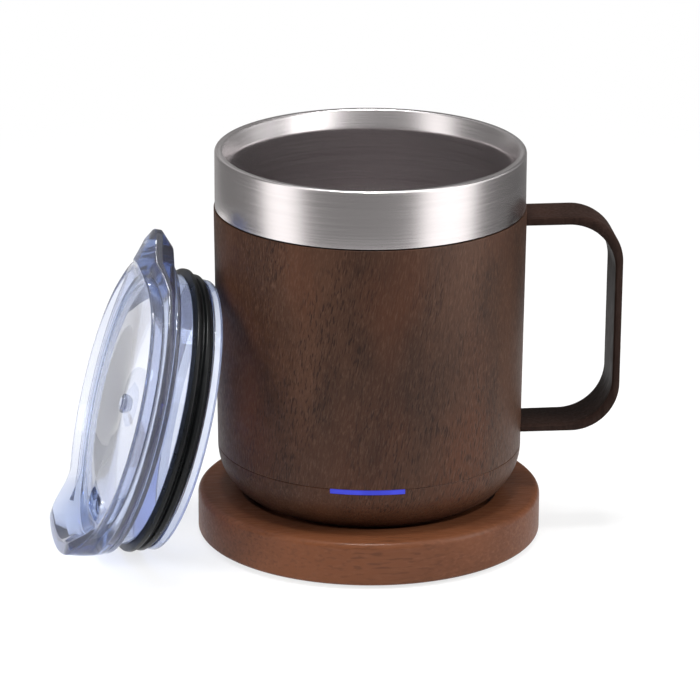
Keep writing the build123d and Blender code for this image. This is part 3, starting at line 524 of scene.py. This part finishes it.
def makeSleeve(s, h):
    corners = [(s["bore"], s["low"]), (s["lowRadius"], s["low"], s["lowEdge"]),
               (s["radius"], s["high"], s["edge"]), (s["bore"], s["high"])]
    piece = turnedPiece("woodSleeve", corners, filmFinish, steps=3)
    half = h["width"] / 2 + h["slip"]
    inside, outside = s["bore"] - s["overrun"], s["radius"] + s["overrun"]
    outline = [(inside, -half), (outside, -half), (outside, half), (inside, half)]
    tools = []
    for low in (h["top"] - h["thickness"], h["bottom"]):
        tools.append(prism("slotTool", outline, low - h["slip"], low + h["thickness"] + h["slip"]))
    cutAway(piece, tools)
    return piece


settle(makeSleeve(sleeve, strip), "mug", "wood_grain", "wood_sleeve")


# geometry node trees start with named inputs and end in plain geometry with its finish
def newTree(name, labels):
    tree = bpy.data.node_groups.new(name, "GeometryNodeTree")
    sockets = [("Geometry", "Geometry")]
    sockets += [(label, kind) for kind, group in labels.items() for label in group]
    for label, kind in sockets + [("Finish", "Material")]:
        tree.interface.new_socket(label, in_out="INPUT", socket_type="NodeSocket" + kind)
    tree.interface.new_socket("Geometry", in_out="OUTPUT", socket_type="NodeSocketGeometry")
    return tree, tree.nodes.new("NodeGroupInput").outputs


def closeTree(tree, given, shape):
    whole = addNode(tree, "GeometryNodeRealizeInstances", {"Geometry": shape}).outputs[0]
    painted = addNode(tree, "GeometryNodeSetMaterial", {"Geometry": whole, "Material": given["Finish"]})
    put = tree.nodes.new("NodeGroupOutput").inputs
    tree.links.new(painted.outputs[0], put["Geometry"])
    return tree


# strip handle: a rounded section laid between an outside and an inside path, station by station
def makeHandleTree():
    labels = {"Float": ("Width", "Thickness", "Edge"), "Int": ("Stations", "Section")}
    tree, given = newTree("stripHandle", labels)
    boxSize = {"Width": given["Width"], "Height": given["Thickness"]}
    box = addNode(tree, "GeometryNodeCurvePrimitiveQuadrilateral", boxSize)
    edgeRound = {"Curve": box.outputs[0], "Radius": given["Edge"], "Count": 5}
    section = addNode(tree, "GeometryNodeFilletCurve", edgeRound, mode="POLY")
    gridSize = {"Vertices X": given["Stations"], "Vertices Y": given["Section"]}
    grid = addNode(tree, "GeometryNodeMeshGrid", gridSize)
    index = addNode(tree, "GeometryNodeInputIndex").outputs[0]
    station = mathNode(tree, "FLOOR", mathNode(tree, "DIVIDE", index, given["Section"]))
    along = mathNode(tree, "DIVIDE", mathNode(tree, "MODULO", index, given["Section"]),
                     mathNode(tree, "SUBTRACT", given["Section"], 1.0))
    place = addNode(tree, "GeometryNodeInputPosition").outputs[0]
    ends = []
    for offset in (0.0, given["Stations"]):
        number = mathNode(tree, "ADD", station, offset)
        wanted = {"Geometry": given["Geometry"], "Value": place, "Index": number}
        sample = addNode(tree, "GeometryNodeSampleIndex", wanted, data_type="FLOAT_VECTOR", domain="POINT")
        ends.append(sample.outputs[0])
    pair = {0: ends[0], 1: ends[1]}
    around = {"Curves": section.outputs[0], "Factor": along}
    sectionPoint = addNode(tree, "GeometryNodeSampleCurve", around, mode="FACTOR").outputs["Position"]
    cross = addNode(tree, "ShaderNodeSeparateXYZ", {0: sectionPoint}).outputs
    span = vectorNode(tree, "SUBTRACT", pair)
    length = vectorNode(tree, "LENGTH", {0: span}, "Value")
    across = vectorNode(tree, "NORMALIZE", {0: span})
    middle = vectorNode(tree, "SCALE", {0: vectorNode(tree, "ADD", pair), "Scale": 0.5})
    extra = mathNode(tree, "MULTIPLY", mathNode(tree, "SUBTRACT", length, given["Thickness"]), 0.5)
    signed = mathNode(tree, "MULTIPLY", extra, mathNode(tree, "SIGN", cross["Y"]))
    reach = mathNode(tree, "ADD", cross["Y"], signed)
    outward = vectorNode(tree, "SCALE", {0: across, "Scale": reach})
    sideways = addNode(tree, "ShaderNodeCombineXYZ", {"Y": cross["X"]}).outputs[0]
    moved = vectorNode(tree, "ADD", {0: middle, 1: outward})
    final = vectorNode(tree, "ADD", {0: moved, 1: sideways})
    laid = addNode(tree, "GeometryNodeSetPosition", {"Geometry": grid.outputs[0], "Position": final})
    return closeTree(tree, given, laid.outputs[0])


def nodePiece(name, start, tree, values):
    modifier = start.modifiers.new("build", "NODES")
    modifier.node_group = tree
    for item in tree.interface.items_tree:
        if item.in_out == "INPUT" and item.name in values:
            modifier[item.identifier] = values[item.name]
    mesh = plainMesh(start)
    mesh.name = name
    bpy.data.objects.remove(start)
    skin(mesh, closed=True)
    return newObject(name, mesh)


def pathObject(name, paths):
    curve = bpy.data.curves.new(name, "CURVE")
    curve.dimensions = "3D"
    for points in paths:
        spline = curve.splines.new("POLY")
        spline.points.add(len(points) - 1)
        for point, place in zip(spline.points, points):
            point.co = (place[0] * mm, 0, place[1] * mm, 1)
    return newObject(name, curve)


def makeHandle(h):
    paths = []
    for inset, radius in ((0, h["corner"]), (h["thickness"], h["bend"])):
        right, top, bottom = h["outer"] - inset, h["top"] - inset, h["bottom"] + inset
        corners = [(h["start"], top), (right, top, radius), (right - h["lean"], bottom, radius),
                   (h["start"], bottom)]
        paths.append(roundedOutline(corners, False, h["bendSteps"]))
    values = {"Width": h["width"] * mm, "Thickness": h["thickness"] * mm, "Edge": h["edge"] * mm,
              "Stations": len(paths[0]), "Section": h["sectionPoints"], "Finish": handleFinish}
    return nodePiece("stripHandle", pathObject("handlePaths", paths), makeHandleTree(), values)


settle(makeHandle(strip), "mug", "handle_coat", "handle")

# rounded base with its recesses for foot, contacts and button, and the slot for the light bar
base = {
    "flat": 27.7, "round": 15.7, "wall": 2.2, "belly": lowest("base_cap"), "part": sleeve["low"],
    "button": 5.05, "ringDepth": 0.8, "rings": ((9.4, 12.1), (15.4, 18.1), (20.9, 26.6)),
    "collar": 42.0, "collarInner": 39.2, "collarRise": 3.0, "rootDrop": 3.0, "shelf": 0.2, "seam": 0.03,
    "sweep": 89.1, "outsideSteps": 24, "insideSteps": 12,
}
light = {
    "azimuth": -96.7, "half": 13.94, "low": lowest("light_guide"), "high": highest("light_guide"),
    "inner": 39.0, "face": 43.4, "slip": 0.1, "proud": 0.04, "cut": (36.0, 46.0), "cutOver": 0.02,
}


def makeBase(s):
    floor, ringTop = s["belly"] + s["wall"], s["belly"] + s["ringDepth"]
    collarTop, root, seam = s["part"] + s["collarRise"], s["part"] - s["rootDrop"], s["part"] - s["seam"]
    corners = [(s["button"], floor), (s["button"], s["belly"], 0.25)]
    for inner, outer in s["rings"]:
        corners += [(inner, s["belly"], 0.15), (inner, ringTop), (outer, ringTop), (outer, s["belly"], 0.15)]
    for step in range(s["outsideSteps"] + 1):
        turn = math.radians(-90 + s["sweep"] * step / s["outsideSteps"])
        corners.append((s["flat"] + s["round"] * math.cos(turn), s["part"] + s["round"] * math.sin(turn)))
    corners += [
        (s["flat"] + s["round"] - s["shelf"], seam), (s["collar"], seam), (s["collar"], collarTop, 0.3),
        (s["collarInner"], collarTop, 0.3), (s["collarInner"], root),
    ]
    inside = s["round"] - s["wall"]
    first = math.degrees(math.asin((s["part"] - root) / inside))
    for step in range(s["insideSteps"] + 1):
        turn = math.radians(-first - (90 - first) * step / s["insideSteps"])
        corners.append((s["flat"] + inside * math.cos(turn), s["part"] + inside * math.sin(turn)))
    return turnedPiece("baseShell", corners, baseFinish, steps=3)


def sectorTool(name, inner, outer, low, high, middle, half, steps=24):
    turns = [math.radians(middle + half * (2 * step / steps - 1)) for step in range(steps + 1)]
    outline = [(outer * math.cos(t), outer * math.sin(t)) for t in turns]
    outline += [(inner * math.cos(t), inner * math.sin(t)) for t in reversed(turns)]
    return prism(name, outline, low, high)


basePiece = makeBase(base)
slotHalf = light["half"] + math.degrees(light["slip"] / light["face"])
slotLow, slotHigh = light["low"] - light["slip"], base["part"] + light["cutOver"]
cutAway(basePiece, [sectorTool("lightSlot", *light["cut"], slotLow, slotHigh, light["azimuth"], slotHalf)])
settle(basePiece, "mug", "wood_grain", "base_cap")


def makeLightBar(s, b):
    rows, columns = 6, 40
    vertices, faces = [], []
    for i in range(columns + 1):
        turn = math.radians(s["azimuth"] + s["half"] * (2 * i / columns - 1))
        section = []
        for k in range(rows + 1):
            height = s["low"] + (s["high"] - s["low"]) * k / rows
            radius = b["flat"] + math.sqrt(b["round"] ** 2 - (b["part"] - height) ** 2) + s["proud"]
            section.append((radius, height))
        section += [(s["inner"], s["high"]), (s["inner"], s["low"])]
        vertices += [(r * math.cos(turn), r * math.sin(turn), z) for r, z in section]
    count = rows + 3
    for i in range(columns):
        for k in range(count):
            n = (k + 1) % count
            faces.append((i * count + k, (i + 1) * count + k, (i + 1) * count + n, i * count + n))
    faces += [tuple(range(count)), tuple(range(columns * count, (columns + 1) * count))]
    return addPiece("lightBar", vertices, faces, lightFinish)


settle(makeLightBar(light, base), "mug", "light_bar", "light_guide")

# wooden coaster with its seat and the mouth of the power socket
coaster = {
    "radius": highest("coaster_body", 0), "bottom": lowest("coaster_body"), "top": highest("coaster_body"),
    "seat": highest("coaster_insert"), "seatRadius": 36.9, "hole": 20.6, "topRound": 1.8, "footRound": 1.4,
    "plate": 43.65, "plateTop": 2.4, "cavity": 38.55, "roof": 7.56, "socketZ": 5.83, "mouth": (9.14, 3.46),
    "mouthCut": (36.0, 52.0),
}


def makeCoaster(s):
    corners = [
        (s["hole"], s["seat"], 0.2), (s["seatRadius"], s["seat"], 0.3), (s["seatRadius"], s["top"], 0.35),
        (s["radius"], s["top"], s["topRound"]), (s["radius"], s["bottom"], s["footRound"]),
        (s["plate"], s["bottom"], 0.2), (s["plate"], s["plateTop"]), (s["cavity"], s["plateTop"]),
        (s["cavity"], s["roof"]), (s["hole"], s["roof"]),
    ]
    piece = turnedPiece("coasterWood", corners, coasterFinish, around=256, steps=7)
    stand = Matrix(((1, 0, 0, 0), (0, 0, 1, 0), (0, 1, 0, 0), (0, 0, 0, 1)))  # y and z change places
    tool = prism("mouthTool", slotOutline(*s["mouth"], (0, s["socketZ"])), *s["mouthCut"], stand)
    cutAway(piece, [tool])
    return piece


settle(makeCoaster(coaster), "coaster", "coaster_wood", "coaster_body")
print("mug and coaster made")

# lid, built on its own axis and stood against the mug
lid = {
    "plug": 39.1, "lip": 2.6, "groove": 37.6, "skirt": 35.8, "barrel": 8.8, "flange": 42.8, "flangeZ": 13.4,
    "top": 15.0, "plate": 12.8, "pivot": 1.9, "sip": (16.0, 7.0), "sipAt": 31.0, "vent": 1.6, "cutOver": 1.0,
}
cover = {
    "low": 15.2, "floor": 17.2, "rim": 21.0, "radius": 40.5, "wall": 2.2, "root": 38.3, "dish": 36.1,
    "pivot": 1.85, "innerDrop": 0.05, "tabTip": 46.6, "tabRound": 5.0, "tabEdge": (51.6, 21.5),
    "tabFoot": 47.7, "tabCrown": 2.8, "tabRise": 2.0, "tabSpread": 46.0, "tabBlunt": 19.4, "tabRoot": 0.5,
    "bluntOut": 0.12, "bluntUp": 0.9, "spoutTop": (45.4, 25.5), "spoutWall": 3.6, "spoutCrest": 14.0,
    "spoutSpread": 28.5, "spoutSide": ((43.4, 15.2), (43.6, 16.1), (43.95, 17.2), (44.6, 19.7)),
}
lidJoint = jointNamed("lid_cover_turn")
lidOut = Vector(lidJoint["axis"]).normalized()
lidUp = (Vector((0, 0, 1)) - lidOut * lidOut.z).normalized()
lidTurn = Matrix((lidUp, lidOut.cross(lidUp), lidOut)).transposed().to_4x4()
lidFrame = Matrix.Translation(lidJoint["pos_m"]) @ lidTurn


def sipTool(name, low, high):
    outline = [(y - lid["sipAt"], x) for x, y in slotOutline(*lid["sip"])]
    return prism(name, list(reversed(outline)), low, high, lidFrame)


def discTool(name, middle, radius, low, high, steps=32):
    turns = [2 * math.pi * step / steps for step in range(steps)]
    outline = [(middle[0] + radius * math.cos(t), middle[1] + radius * math.sin(t)) for t in turns]
    return prism(name, outline, low, high, lidFrame)


def makePlug(s):
    corners = [
        (s["skirt"], 0, 0.5), (s["plug"], 0, 0.7), (s["plug"], s["lip"], 0.3), (s["groove"], s["lip"], 0.2),
        (s["groove"], s["barrel"], 0.2), (s["plug"], s["barrel"], 0.3), (s["plug"], s["flangeZ"], 0.5),
        (s["flange"], s["flangeZ"], 0.5), (s["flange"], s["top"], 0.4), (s["pivot"], s["top"], 0.1),
        (s["pivot"], s["plate"], 0.1), (s["skirt"], s["plate"], 1.0),
    ]
    piece = turnedPiece("clearPlug", corners, clearFinish, steps=4, matrix=lidFrame)
    low, high = s["plate"] - s["cutOver"], s["top"] + s["cutOver"]
    slotTool = sipTool("plugSlot", low, high)
    cutAway(piece, [slotTool, discTool("plugVent", (s["sipAt"], 0), s["vent"], low, high)])
    return piece


settle(makePlug(lid), "lid", "clear_plastic", "lid_body")


def tabReach(s, turn):
    # how far the plan's tangent lines and rounded tip stand past the rim, 0 to 1
    rim, tip, small = lid["flange"], s["tabTip"], s["tabRound"]
    touch = math.acos((rim - small) / tip)
    turn = abs(turn)
    if turn > touch:
        return 0.0
    offset = tip * math.sin(turn)
    if offset < small:
        arc = tip * math.cos(turn) + math.sqrt(small ** 2 - offset ** 2)
    else:
        arc = 0.0
    line = rim / math.cos(touch - turn)
    reach = arc if arc and math.atan2(small * math.sin(touch), tip + small * math.cos(touch)) > turn else line
    return max(0.0, min(1.0, (reach - rim) / (s["tabEdge"][0] - rim)))


def smooth(value):
    value = max(0.0, min(1.0, value))
    return value * value * (3 - 2 * value)


def blend(first, second, share):
    return first[0] + (second[0] - first[0]) * share, first[1] + (second[1] - first[1]) * share


def makeCover(s, around=288):
    vertices, count = [], 0
    tip, crest, brim = s["tabEdge"], s["spoutTop"], lid["flange"]
    for i in range(around):
        turn = 2 * math.pi * i / around
        away = (turn + math.pi) % (2 * math.pi) - math.pi
        tab = tabReach(s, away)
        crown = smooth(tab * s["tabRise"])
        swell = smooth(1 - abs(math.degrees(away)) / s["tabSpread"])
        side = abs(brim * math.sin(turn))
        ramp = (s["spoutSpread"] - side) / (s["spoutSpread"] - s["spoutCrest"])
        spout = smooth(ramp) if math.cos(turn) < 0 else 0.0
        reach = brim + (tip[0] - brim) * tab
        foot = (brim + (s["tabFoot"] - brim) * tab, s["low"])
        bluntLow = s["low"] + s["bluntUp"]
        blunt = (reach + s["bluntOut"], bluntLow + (s["tabBlunt"] - bluntLow) * crown)
        edge = (reach, s["floor"] + (tip[1] - s["floor"]) * crown)
        ridge = (s["radius"], s["rim"] + s["tabCrown"] * swell)
        rim = blend(ridge, crest, spout)
        root = blend((s["root"], s["floor"]), blend(edge, ridge, s["tabRoot"]), crown)
        wall = zip((foot, blunt, edge, root), s["spoutSide"])
        foot, blunt, edge, root = (blend(plain, steep, spout) for plain, steep in wall)
        spoutInner = (crest[0] - s["spoutWall"], crest[1] - s["innerDrop"])
        inner = blend((s["radius"] - s["wall"], s["rim"] - s["innerDrop"]), spoutInner, spout)
        section = [
            (s["pivot"], s["low"], 0.15), (*foot, 0.4), (*blunt, 0.5), (*edge, 0.4), (*root, 0.3),
            (*rim, 0.6), (*inner, 0.6), (s["dish"], s["floor"], 0.8), (s["pivot"], s["floor"], 0.15),
        ]
        outline = roundedOutline(section, True, steps=4)
        count = len(outline)
        vertices += [(p.x * math.cos(turn), p.x * math.sin(turn), p.y) for p in outline]
    piece = addPiece("clearCover", vertices, ringFaces(around, count, True), clearFinish, lidFrame)
    slotTool = sipTool("coverSlot", s["low"] - lid["cutOver"], s["floor"] + lid["cutOver"])
    cutAway(piece, [slotTool], sharp=40)
    return piece


settle(makeCover(cover), "lid_cover", "clear_plastic", "lid_cover")

# gasket with two soft lips
gasket = {
    "inner": 37.7, "root": 38.6, "low": 2.7, "high": 8.7, "tips": (40.0, 41.0), "tipShares": (0.42, 0.8),
}


def makeGasket(s):
    pitch = (s["high"] - s["low"]) / 2
    corners = [(s["inner"], s["low"], 0.2), (s["root"], s["low"], 0.2)]
    for index, tip in enumerate(s["tips"]):
        start = s["low"] + pitch * index
        corners += [(tip, start + pitch * share, 0.45) for share in s["tipShares"]]
        corners.append((s["root"], start + pitch, 0.3))
    corners.append((s["inner"], s["high"], 0.2))
    return turnedPiece("lidGasket", corners, gasketFinish, matrix=lidFrame)


settle(makeGasket(gasket), "lid", "black_rubber", "lid_gasket")

# pale frosted band that the gasket grips, seen through the clear plug
seat = {"inner": 37.63, "outer": 37.68, "low": 2.8, "high": 8.6}


def makeSeat(s):
    corners = [(s["inner"], s["low"]), (s["outer"], s["low"]),
               (s["outer"], s["high"]), (s["inner"], s["high"])]
    return turnedPiece("gasketSeat", corners, seatFinish, matrix=lidFrame)


settle(makeSeat(seat), "lid", "clear_plastic")

# low rivet that the cover turns on, with domed ends
rivet = {
    "head": 3.0, "headLow": 17.3, "dome": 0.7, "shaft": 1.8, "tail": 2.8, "tailHigh": 12.75, "shoulder": 0.7,
}


def makeRivet(s):
    shoulder, rise = s["shoulder"], s["dome"] * s["shoulder"]
    corners = [
        (0, s["tailHigh"] - s["dome"]), (s["tail"] * shoulder, s["tailHigh"] - rise, 2.0),
        (s["tail"], s["tailHigh"], 0.1), (s["shaft"], s["tailHigh"], 0.1), (s["shaft"], s["headLow"], 0.1),
        (s["head"], s["headLow"], 0.1), (s["head"] * shoulder, s["headLow"] + rise, 2.0),
        (0, s["headLow"] + s["dome"]),
    ]
    return turnedPiece("clearRivet", corners, clearFinish, closed=False, around=64, matrix=lidFrame)


settle(makeRivet(rivet), "lid", "clear_plastic", "lid_pivot")
print("lid made")

# coil springs under the contact pins, wound by geometry nodes
spring = {"wire": 0.15, "coil": 0.9, "turns": 4.0, "steps": 24, "sides": 10}


def makeSpringTree():
    labels = {"Float": ("Wire", "Coil", "Turns", "Height"), "Int": ("Steps", "Sides"), "Vector": ("Place",)}
    tree, given = newTree("coilSpring", labels)
    winding = {"Resolution": given["Steps"], "Rotations": given["Turns"], "Start Radius": given["Coil"],
               "End Radius": given["Coil"], "Height": given["Height"]}
    coil = addNode(tree, "GeometryNodeCurveSpiral", winding)
    ring = {"Resolution": given["Sides"], "Radius": given["Wire"]}
    wire = addNode(tree, "GeometryNodeCurvePrimitiveCircle", ring)
    swept = {"Curve": coil.outputs[0], "Profile Curve": wire.outputs[0], "Fill Caps": True}
    wound = addNode(tree, "GeometryNodeCurveToMesh", swept)
    shift = {"Geometry": wound.outputs[0], "Translation": given["Place"]}
    moved = addNode(tree, "GeometryNodeTransform", shift)
    return closeTree(tree, given, moved.outputs[0])


def makeSpring(name, node, s, tree):
    low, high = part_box(node)
    wire = s["wire"] * mm
    place = ((low[0] + high[0]) / 2, (low[1] + high[1]) / 2, low[2] + wire)
    values = {"Wire": wire, "Coil": s["coil"] * mm, "Height": high[2] - low[2] - 2 * wire, "Place": place,
              "Turns": s["turns"], "Steps": s["steps"], "Sides": s["sides"], "Finish": screwFinish}
    piece = nodePiece(name, newObject(name, bpy.data.meshes.new(name)), tree, values)
    settle(piece, "coaster", "screw_steel", node)
    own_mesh(piece)


springTree = makeSpringTree()
makeSpring("innerSpring", "pin_spring_inner", spring, springTree)
makeSpring("outerSpring", "pin_spring_outer", spring, springTree)
print("springs made")

# finishes for the CAD nodes that stay
nodeFinishes = (
    (gasketFinish, ("seam_ring",)),
    (rubberFinish, ("base_seal", "foot_ring", "coaster_pad")),
    (foilFinish, ("insulation_wrap", "battery_cells")),
    (boardFinish, ("led_strip", "control_board", "coaster_board")),
    (ledFinish, ("leds",)),
    (plateFinish, ("heat_spreader",)),
    (amberFinish, ("heating_film",)),
    (chipFinish, ("thermistor", "board_chips", "coaster_chips")),
    (feltFinish, ("insulation_pad",)),
    (screwFinish, ("heater_clamp", "heater_studs", "heater_nuts")),
    (screwFinish, ("chassis_screws", "base_screws", "coaster_screws", "socket_shell")),
    (leadFinish, ("heater_leads", "battery_leads")),
    (blackFinish, ("chassis", "button_switch", "power_button")),
    (blackFinish, ("coaster_insert", "coaster_base", "socket_core")),
    (goldFinish, ("contact_ring_inner", "contact_ring_outer", "pin_barrels")),
    (goldFinish, ("contact_pin_inner", "contact_pin_outer")),
)
for finish, nodeNames in nodeFinishes:
    for nodeName in nodeNames:
        materials = frame["nodes"][nodeName].data.materials
        materials.clear()
        materials.append(finish)
print("CAD nodes finished:", sum(len(nodeNames) for finish, nodeNames in nodeFinishes))

# studio: pale floor, soft lamps and the photograph's camera
studio = {"floor": 6.0, "white": 0.72, "near": 0.12, "far": 0.45, "world": 0.20}


def whiteView(tree):
    path = addNode(tree, "ShaderNodeLightPath").outputs
    seen = mathNode(tree, "MAXIMUM", path["Is Camera Ray"], path["Is Glossy Ray"])
    return mathNode(tree, "MAXIMUM", seen, path["Is Transmission Ray"])


def makeFloor(s):
    material, tree, shader = newMaterial("paleFloor", Base_Color=(0.86, 0.86, 0.86, 1), Roughness=0.9)
    shader.inputs["Specular IOR Level"].default_value = 0.0
    glow = addNode(tree, "ShaderNodeEmission", {"Color": (1, 1, 1, 1), "Strength": 1.0})
    away = vectorNode(tree, "LENGTH", {0: objectCoords(tree)}, "Value")
    fade = rangeNode(tree, away, s["near"], s["far"], s["white"], 1.0)
    share = mathNode(tree, "MULTIPLY", whiteView(tree), fade)
    mixed = addNode(tree, "ShaderNodeMixShader", {0: share})
    tree.links.new(shader.outputs[0], mixed.inputs[1])
    tree.links.new(glow.outputs[0], mixed.inputs[2])
    tree.links.new(mixed.outputs[0], tree.nodes["Material Output"].inputs["Surface"])
    half = s["floor"] / 2 / mm
    corners = [(-half, -half, 0), (half, -half, 0), (half, half, 0), (-half, half, 0)]
    floor = addPiece("paleFloor", corners, [(0, 1, 2, 3)], material)


def makeWorld(s):
    world = bpy.data.worlds.new("softWorld")
    world.use_nodes = True
    scene.world = world
    tree = world.node_tree
    background = tree.nodes["Background"]
    strength = rangeNode(tree, whiteView(tree), 0.0, 1.0, s["world"], 1.0)
    background.inputs["Color"].default_value = (1, 1, 1, 1)
    tree.links.new(strength, background.inputs["Strength"])


lamps = {
    "leftSoftbox": {"azimuth": -164, "distance": 0.8, "height": 0.32, "size": (0.25, 0.25), "power": 6.2},
    "rightSoftbox": {"azimuth": -18, "distance": 0.9, "height": 0.5, "size": (0.4, 0.7), "power": 10.5},
    "frontSoftbox": {"azimuth": -100, "distance": 1.2, "height": 1.0, "size": (0.8, 0.6), "power": 4.5},
    "overhead": {"azimuth": -90, "distance": 0.05, "height": 1.2, "size": (0.3, 0.3), "power": 12.0},
}
lampAim = Vector((0, 0, 0.06))


def addLamp(name, s):
    turn = math.radians(s["azimuth"])
    lamp = bpy.data.lights.new(name, "AREA")
    lamp.shape, lamp.energy = "RECTANGLE", s["power"]
    lamp.size, lamp.size_y = s["size"]
    holder = newObject(name, lamp)
    holder.location = (s["distance"] * math.cos(turn), s["distance"] * math.sin(turn), s["height"])
    holder.rotation_euler = (lampAim - holder.location).to_track_quat("-Z", "Y").to_euler()
    return holder


# cards that only reflections see, their tones by angle from the camera's side: a ring with two bright strips
# and a low strip for the lid; seenThrough is the tone behind clear plastic
cards = {
    "radius": 230.0, "low": 0.5, "high": 500.0, "front": -96.3, "seenThrough": 0.95, "steps": 240,
    "tones": (
        (-180, 0.25), (-162, 0.25), (-155, 0.4), (-141, 0.4), (-132, 0.22), (-82, 0.20), (-72, 1.7),
        (-53, 1.7), (-42, 0.25), (0, 0.27), (29, 0.27), (39, 1.7), (70, 1.7), (80, 0.17), (125, 0.13),
        (180, 0.25),
    ),
}
lidCard = {
    "radius": 228.0, "low": 0.5, "high": 28.0, "front": -96.3, "seenThrough": 0.95, "steps": 40,
    "tones": ((-146, 0.3), (-141, 1.5), (-125, 1.5), (-120, 0.3)),
}


def toneAt(angle, tones):
    for (start, first), (end, second) in zip(tones, tones[1:]):
        if start <= angle <= end:
            return first + (second - first) * (angle - start) / (end - start)
    return tones[0][1]


def makeCards(name, s):
    material = bpy.data.materials.new(name)
    material.use_nodes = True
    tree = material.node_tree
    tree.nodes.remove(tree.nodes["Principled BSDF"])
    tone = addNode(tree, "ShaderNodeAttribute", attribute_name="tone").outputs["Fac"]
    through = addNode(tree, "ShaderNodeLightPath").outputs["Transmission Depth"]
    strength = rangeNode(tree, through, 0.0, 1.0, tone, s["seenThrough"])
    glow = addNode(tree, "ShaderNodeEmission", {"Color": (1, 0.985, 0.975, 1), "Strength": strength})
    tree.links.new(glow.outputs[0], tree.nodes["Material Output"].inputs["Surface"])
    vertices, tones, steps = [], [], s["steps"]
    first, last = s["tones"][0][0], s["tones"][-1][0]
    for i in range(steps + 1):
        angle = first + (last - first) * i / steps
        turn = math.radians(s["front"] + angle)
        for height in (s["low"], s["high"]):
            vertices.append((s["radius"] * math.cos(turn), s["radius"] * math.sin(turn), height))
            tones.append(toneAt(angle, s["tones"]))
    faces = [(2 * i, 2 * i + 2, 2 * i + 3, 2 * i + 1) for i in range(steps)]
    mesh = bpy.data.meshes.new(name)
    mesh.from_pydata([(x * mm, y * mm, z * mm) for x, y, z in vertices], [], faces)
    mesh.attributes.new("tone", "FLOAT", "POINT").data.foreach_set("value", tones)
    mesh.materials.append(material)
    piece = newObject(name, mesh)
    piece.visible_camera = piece.visible_diffuse = piece.visible_transmission = False
    piece.visible_shadow = piece.visible_volume_scatter = False


makeFloor(studio)
makeWorld(studio)
makeCards("reflectionCards", cards)
makeCards("lidCard", lidCard)
lampHolders = {name: addLamp(name, s) for name, s in lamps.items()}
# without this the lid's dish mirrors the left lamp as a white patch
lampHolders["leftSoftbox"].visible_glossy = False
lampHolders["leftSoftbox"].visible_transmission = False

view = {
    "place": (-0.13311, -1.21309, 0.45868), "pitch": 0.3201, "turn": -6.0, "roll": 0.004, "lens": 231.53,
    "sensor": 36.0, "clip": (0.05, 20.0),
}
cameraData = bpy.data.cameras.new("photoCamera")
cameraData.lens, cameraData.sensor_width = view["lens"], view["sensor"]
cameraData.clip_start, cameraData.clip_end = view["clip"]
camera = newObject("photoCamera", cameraData)
turnZ = Matrix.Rotation(math.radians(view["turn"]), 4, "Z")
look = turnZ @ Matrix.Rotation(math.pi / 2 - view["pitch"], 4, "X") @ Matrix.Rotation(view["roll"], 4, "Z")
camera.matrix_world = Matrix.Translation(view["place"]) @ look
scene.camera = camera
print("studio and camera ready")
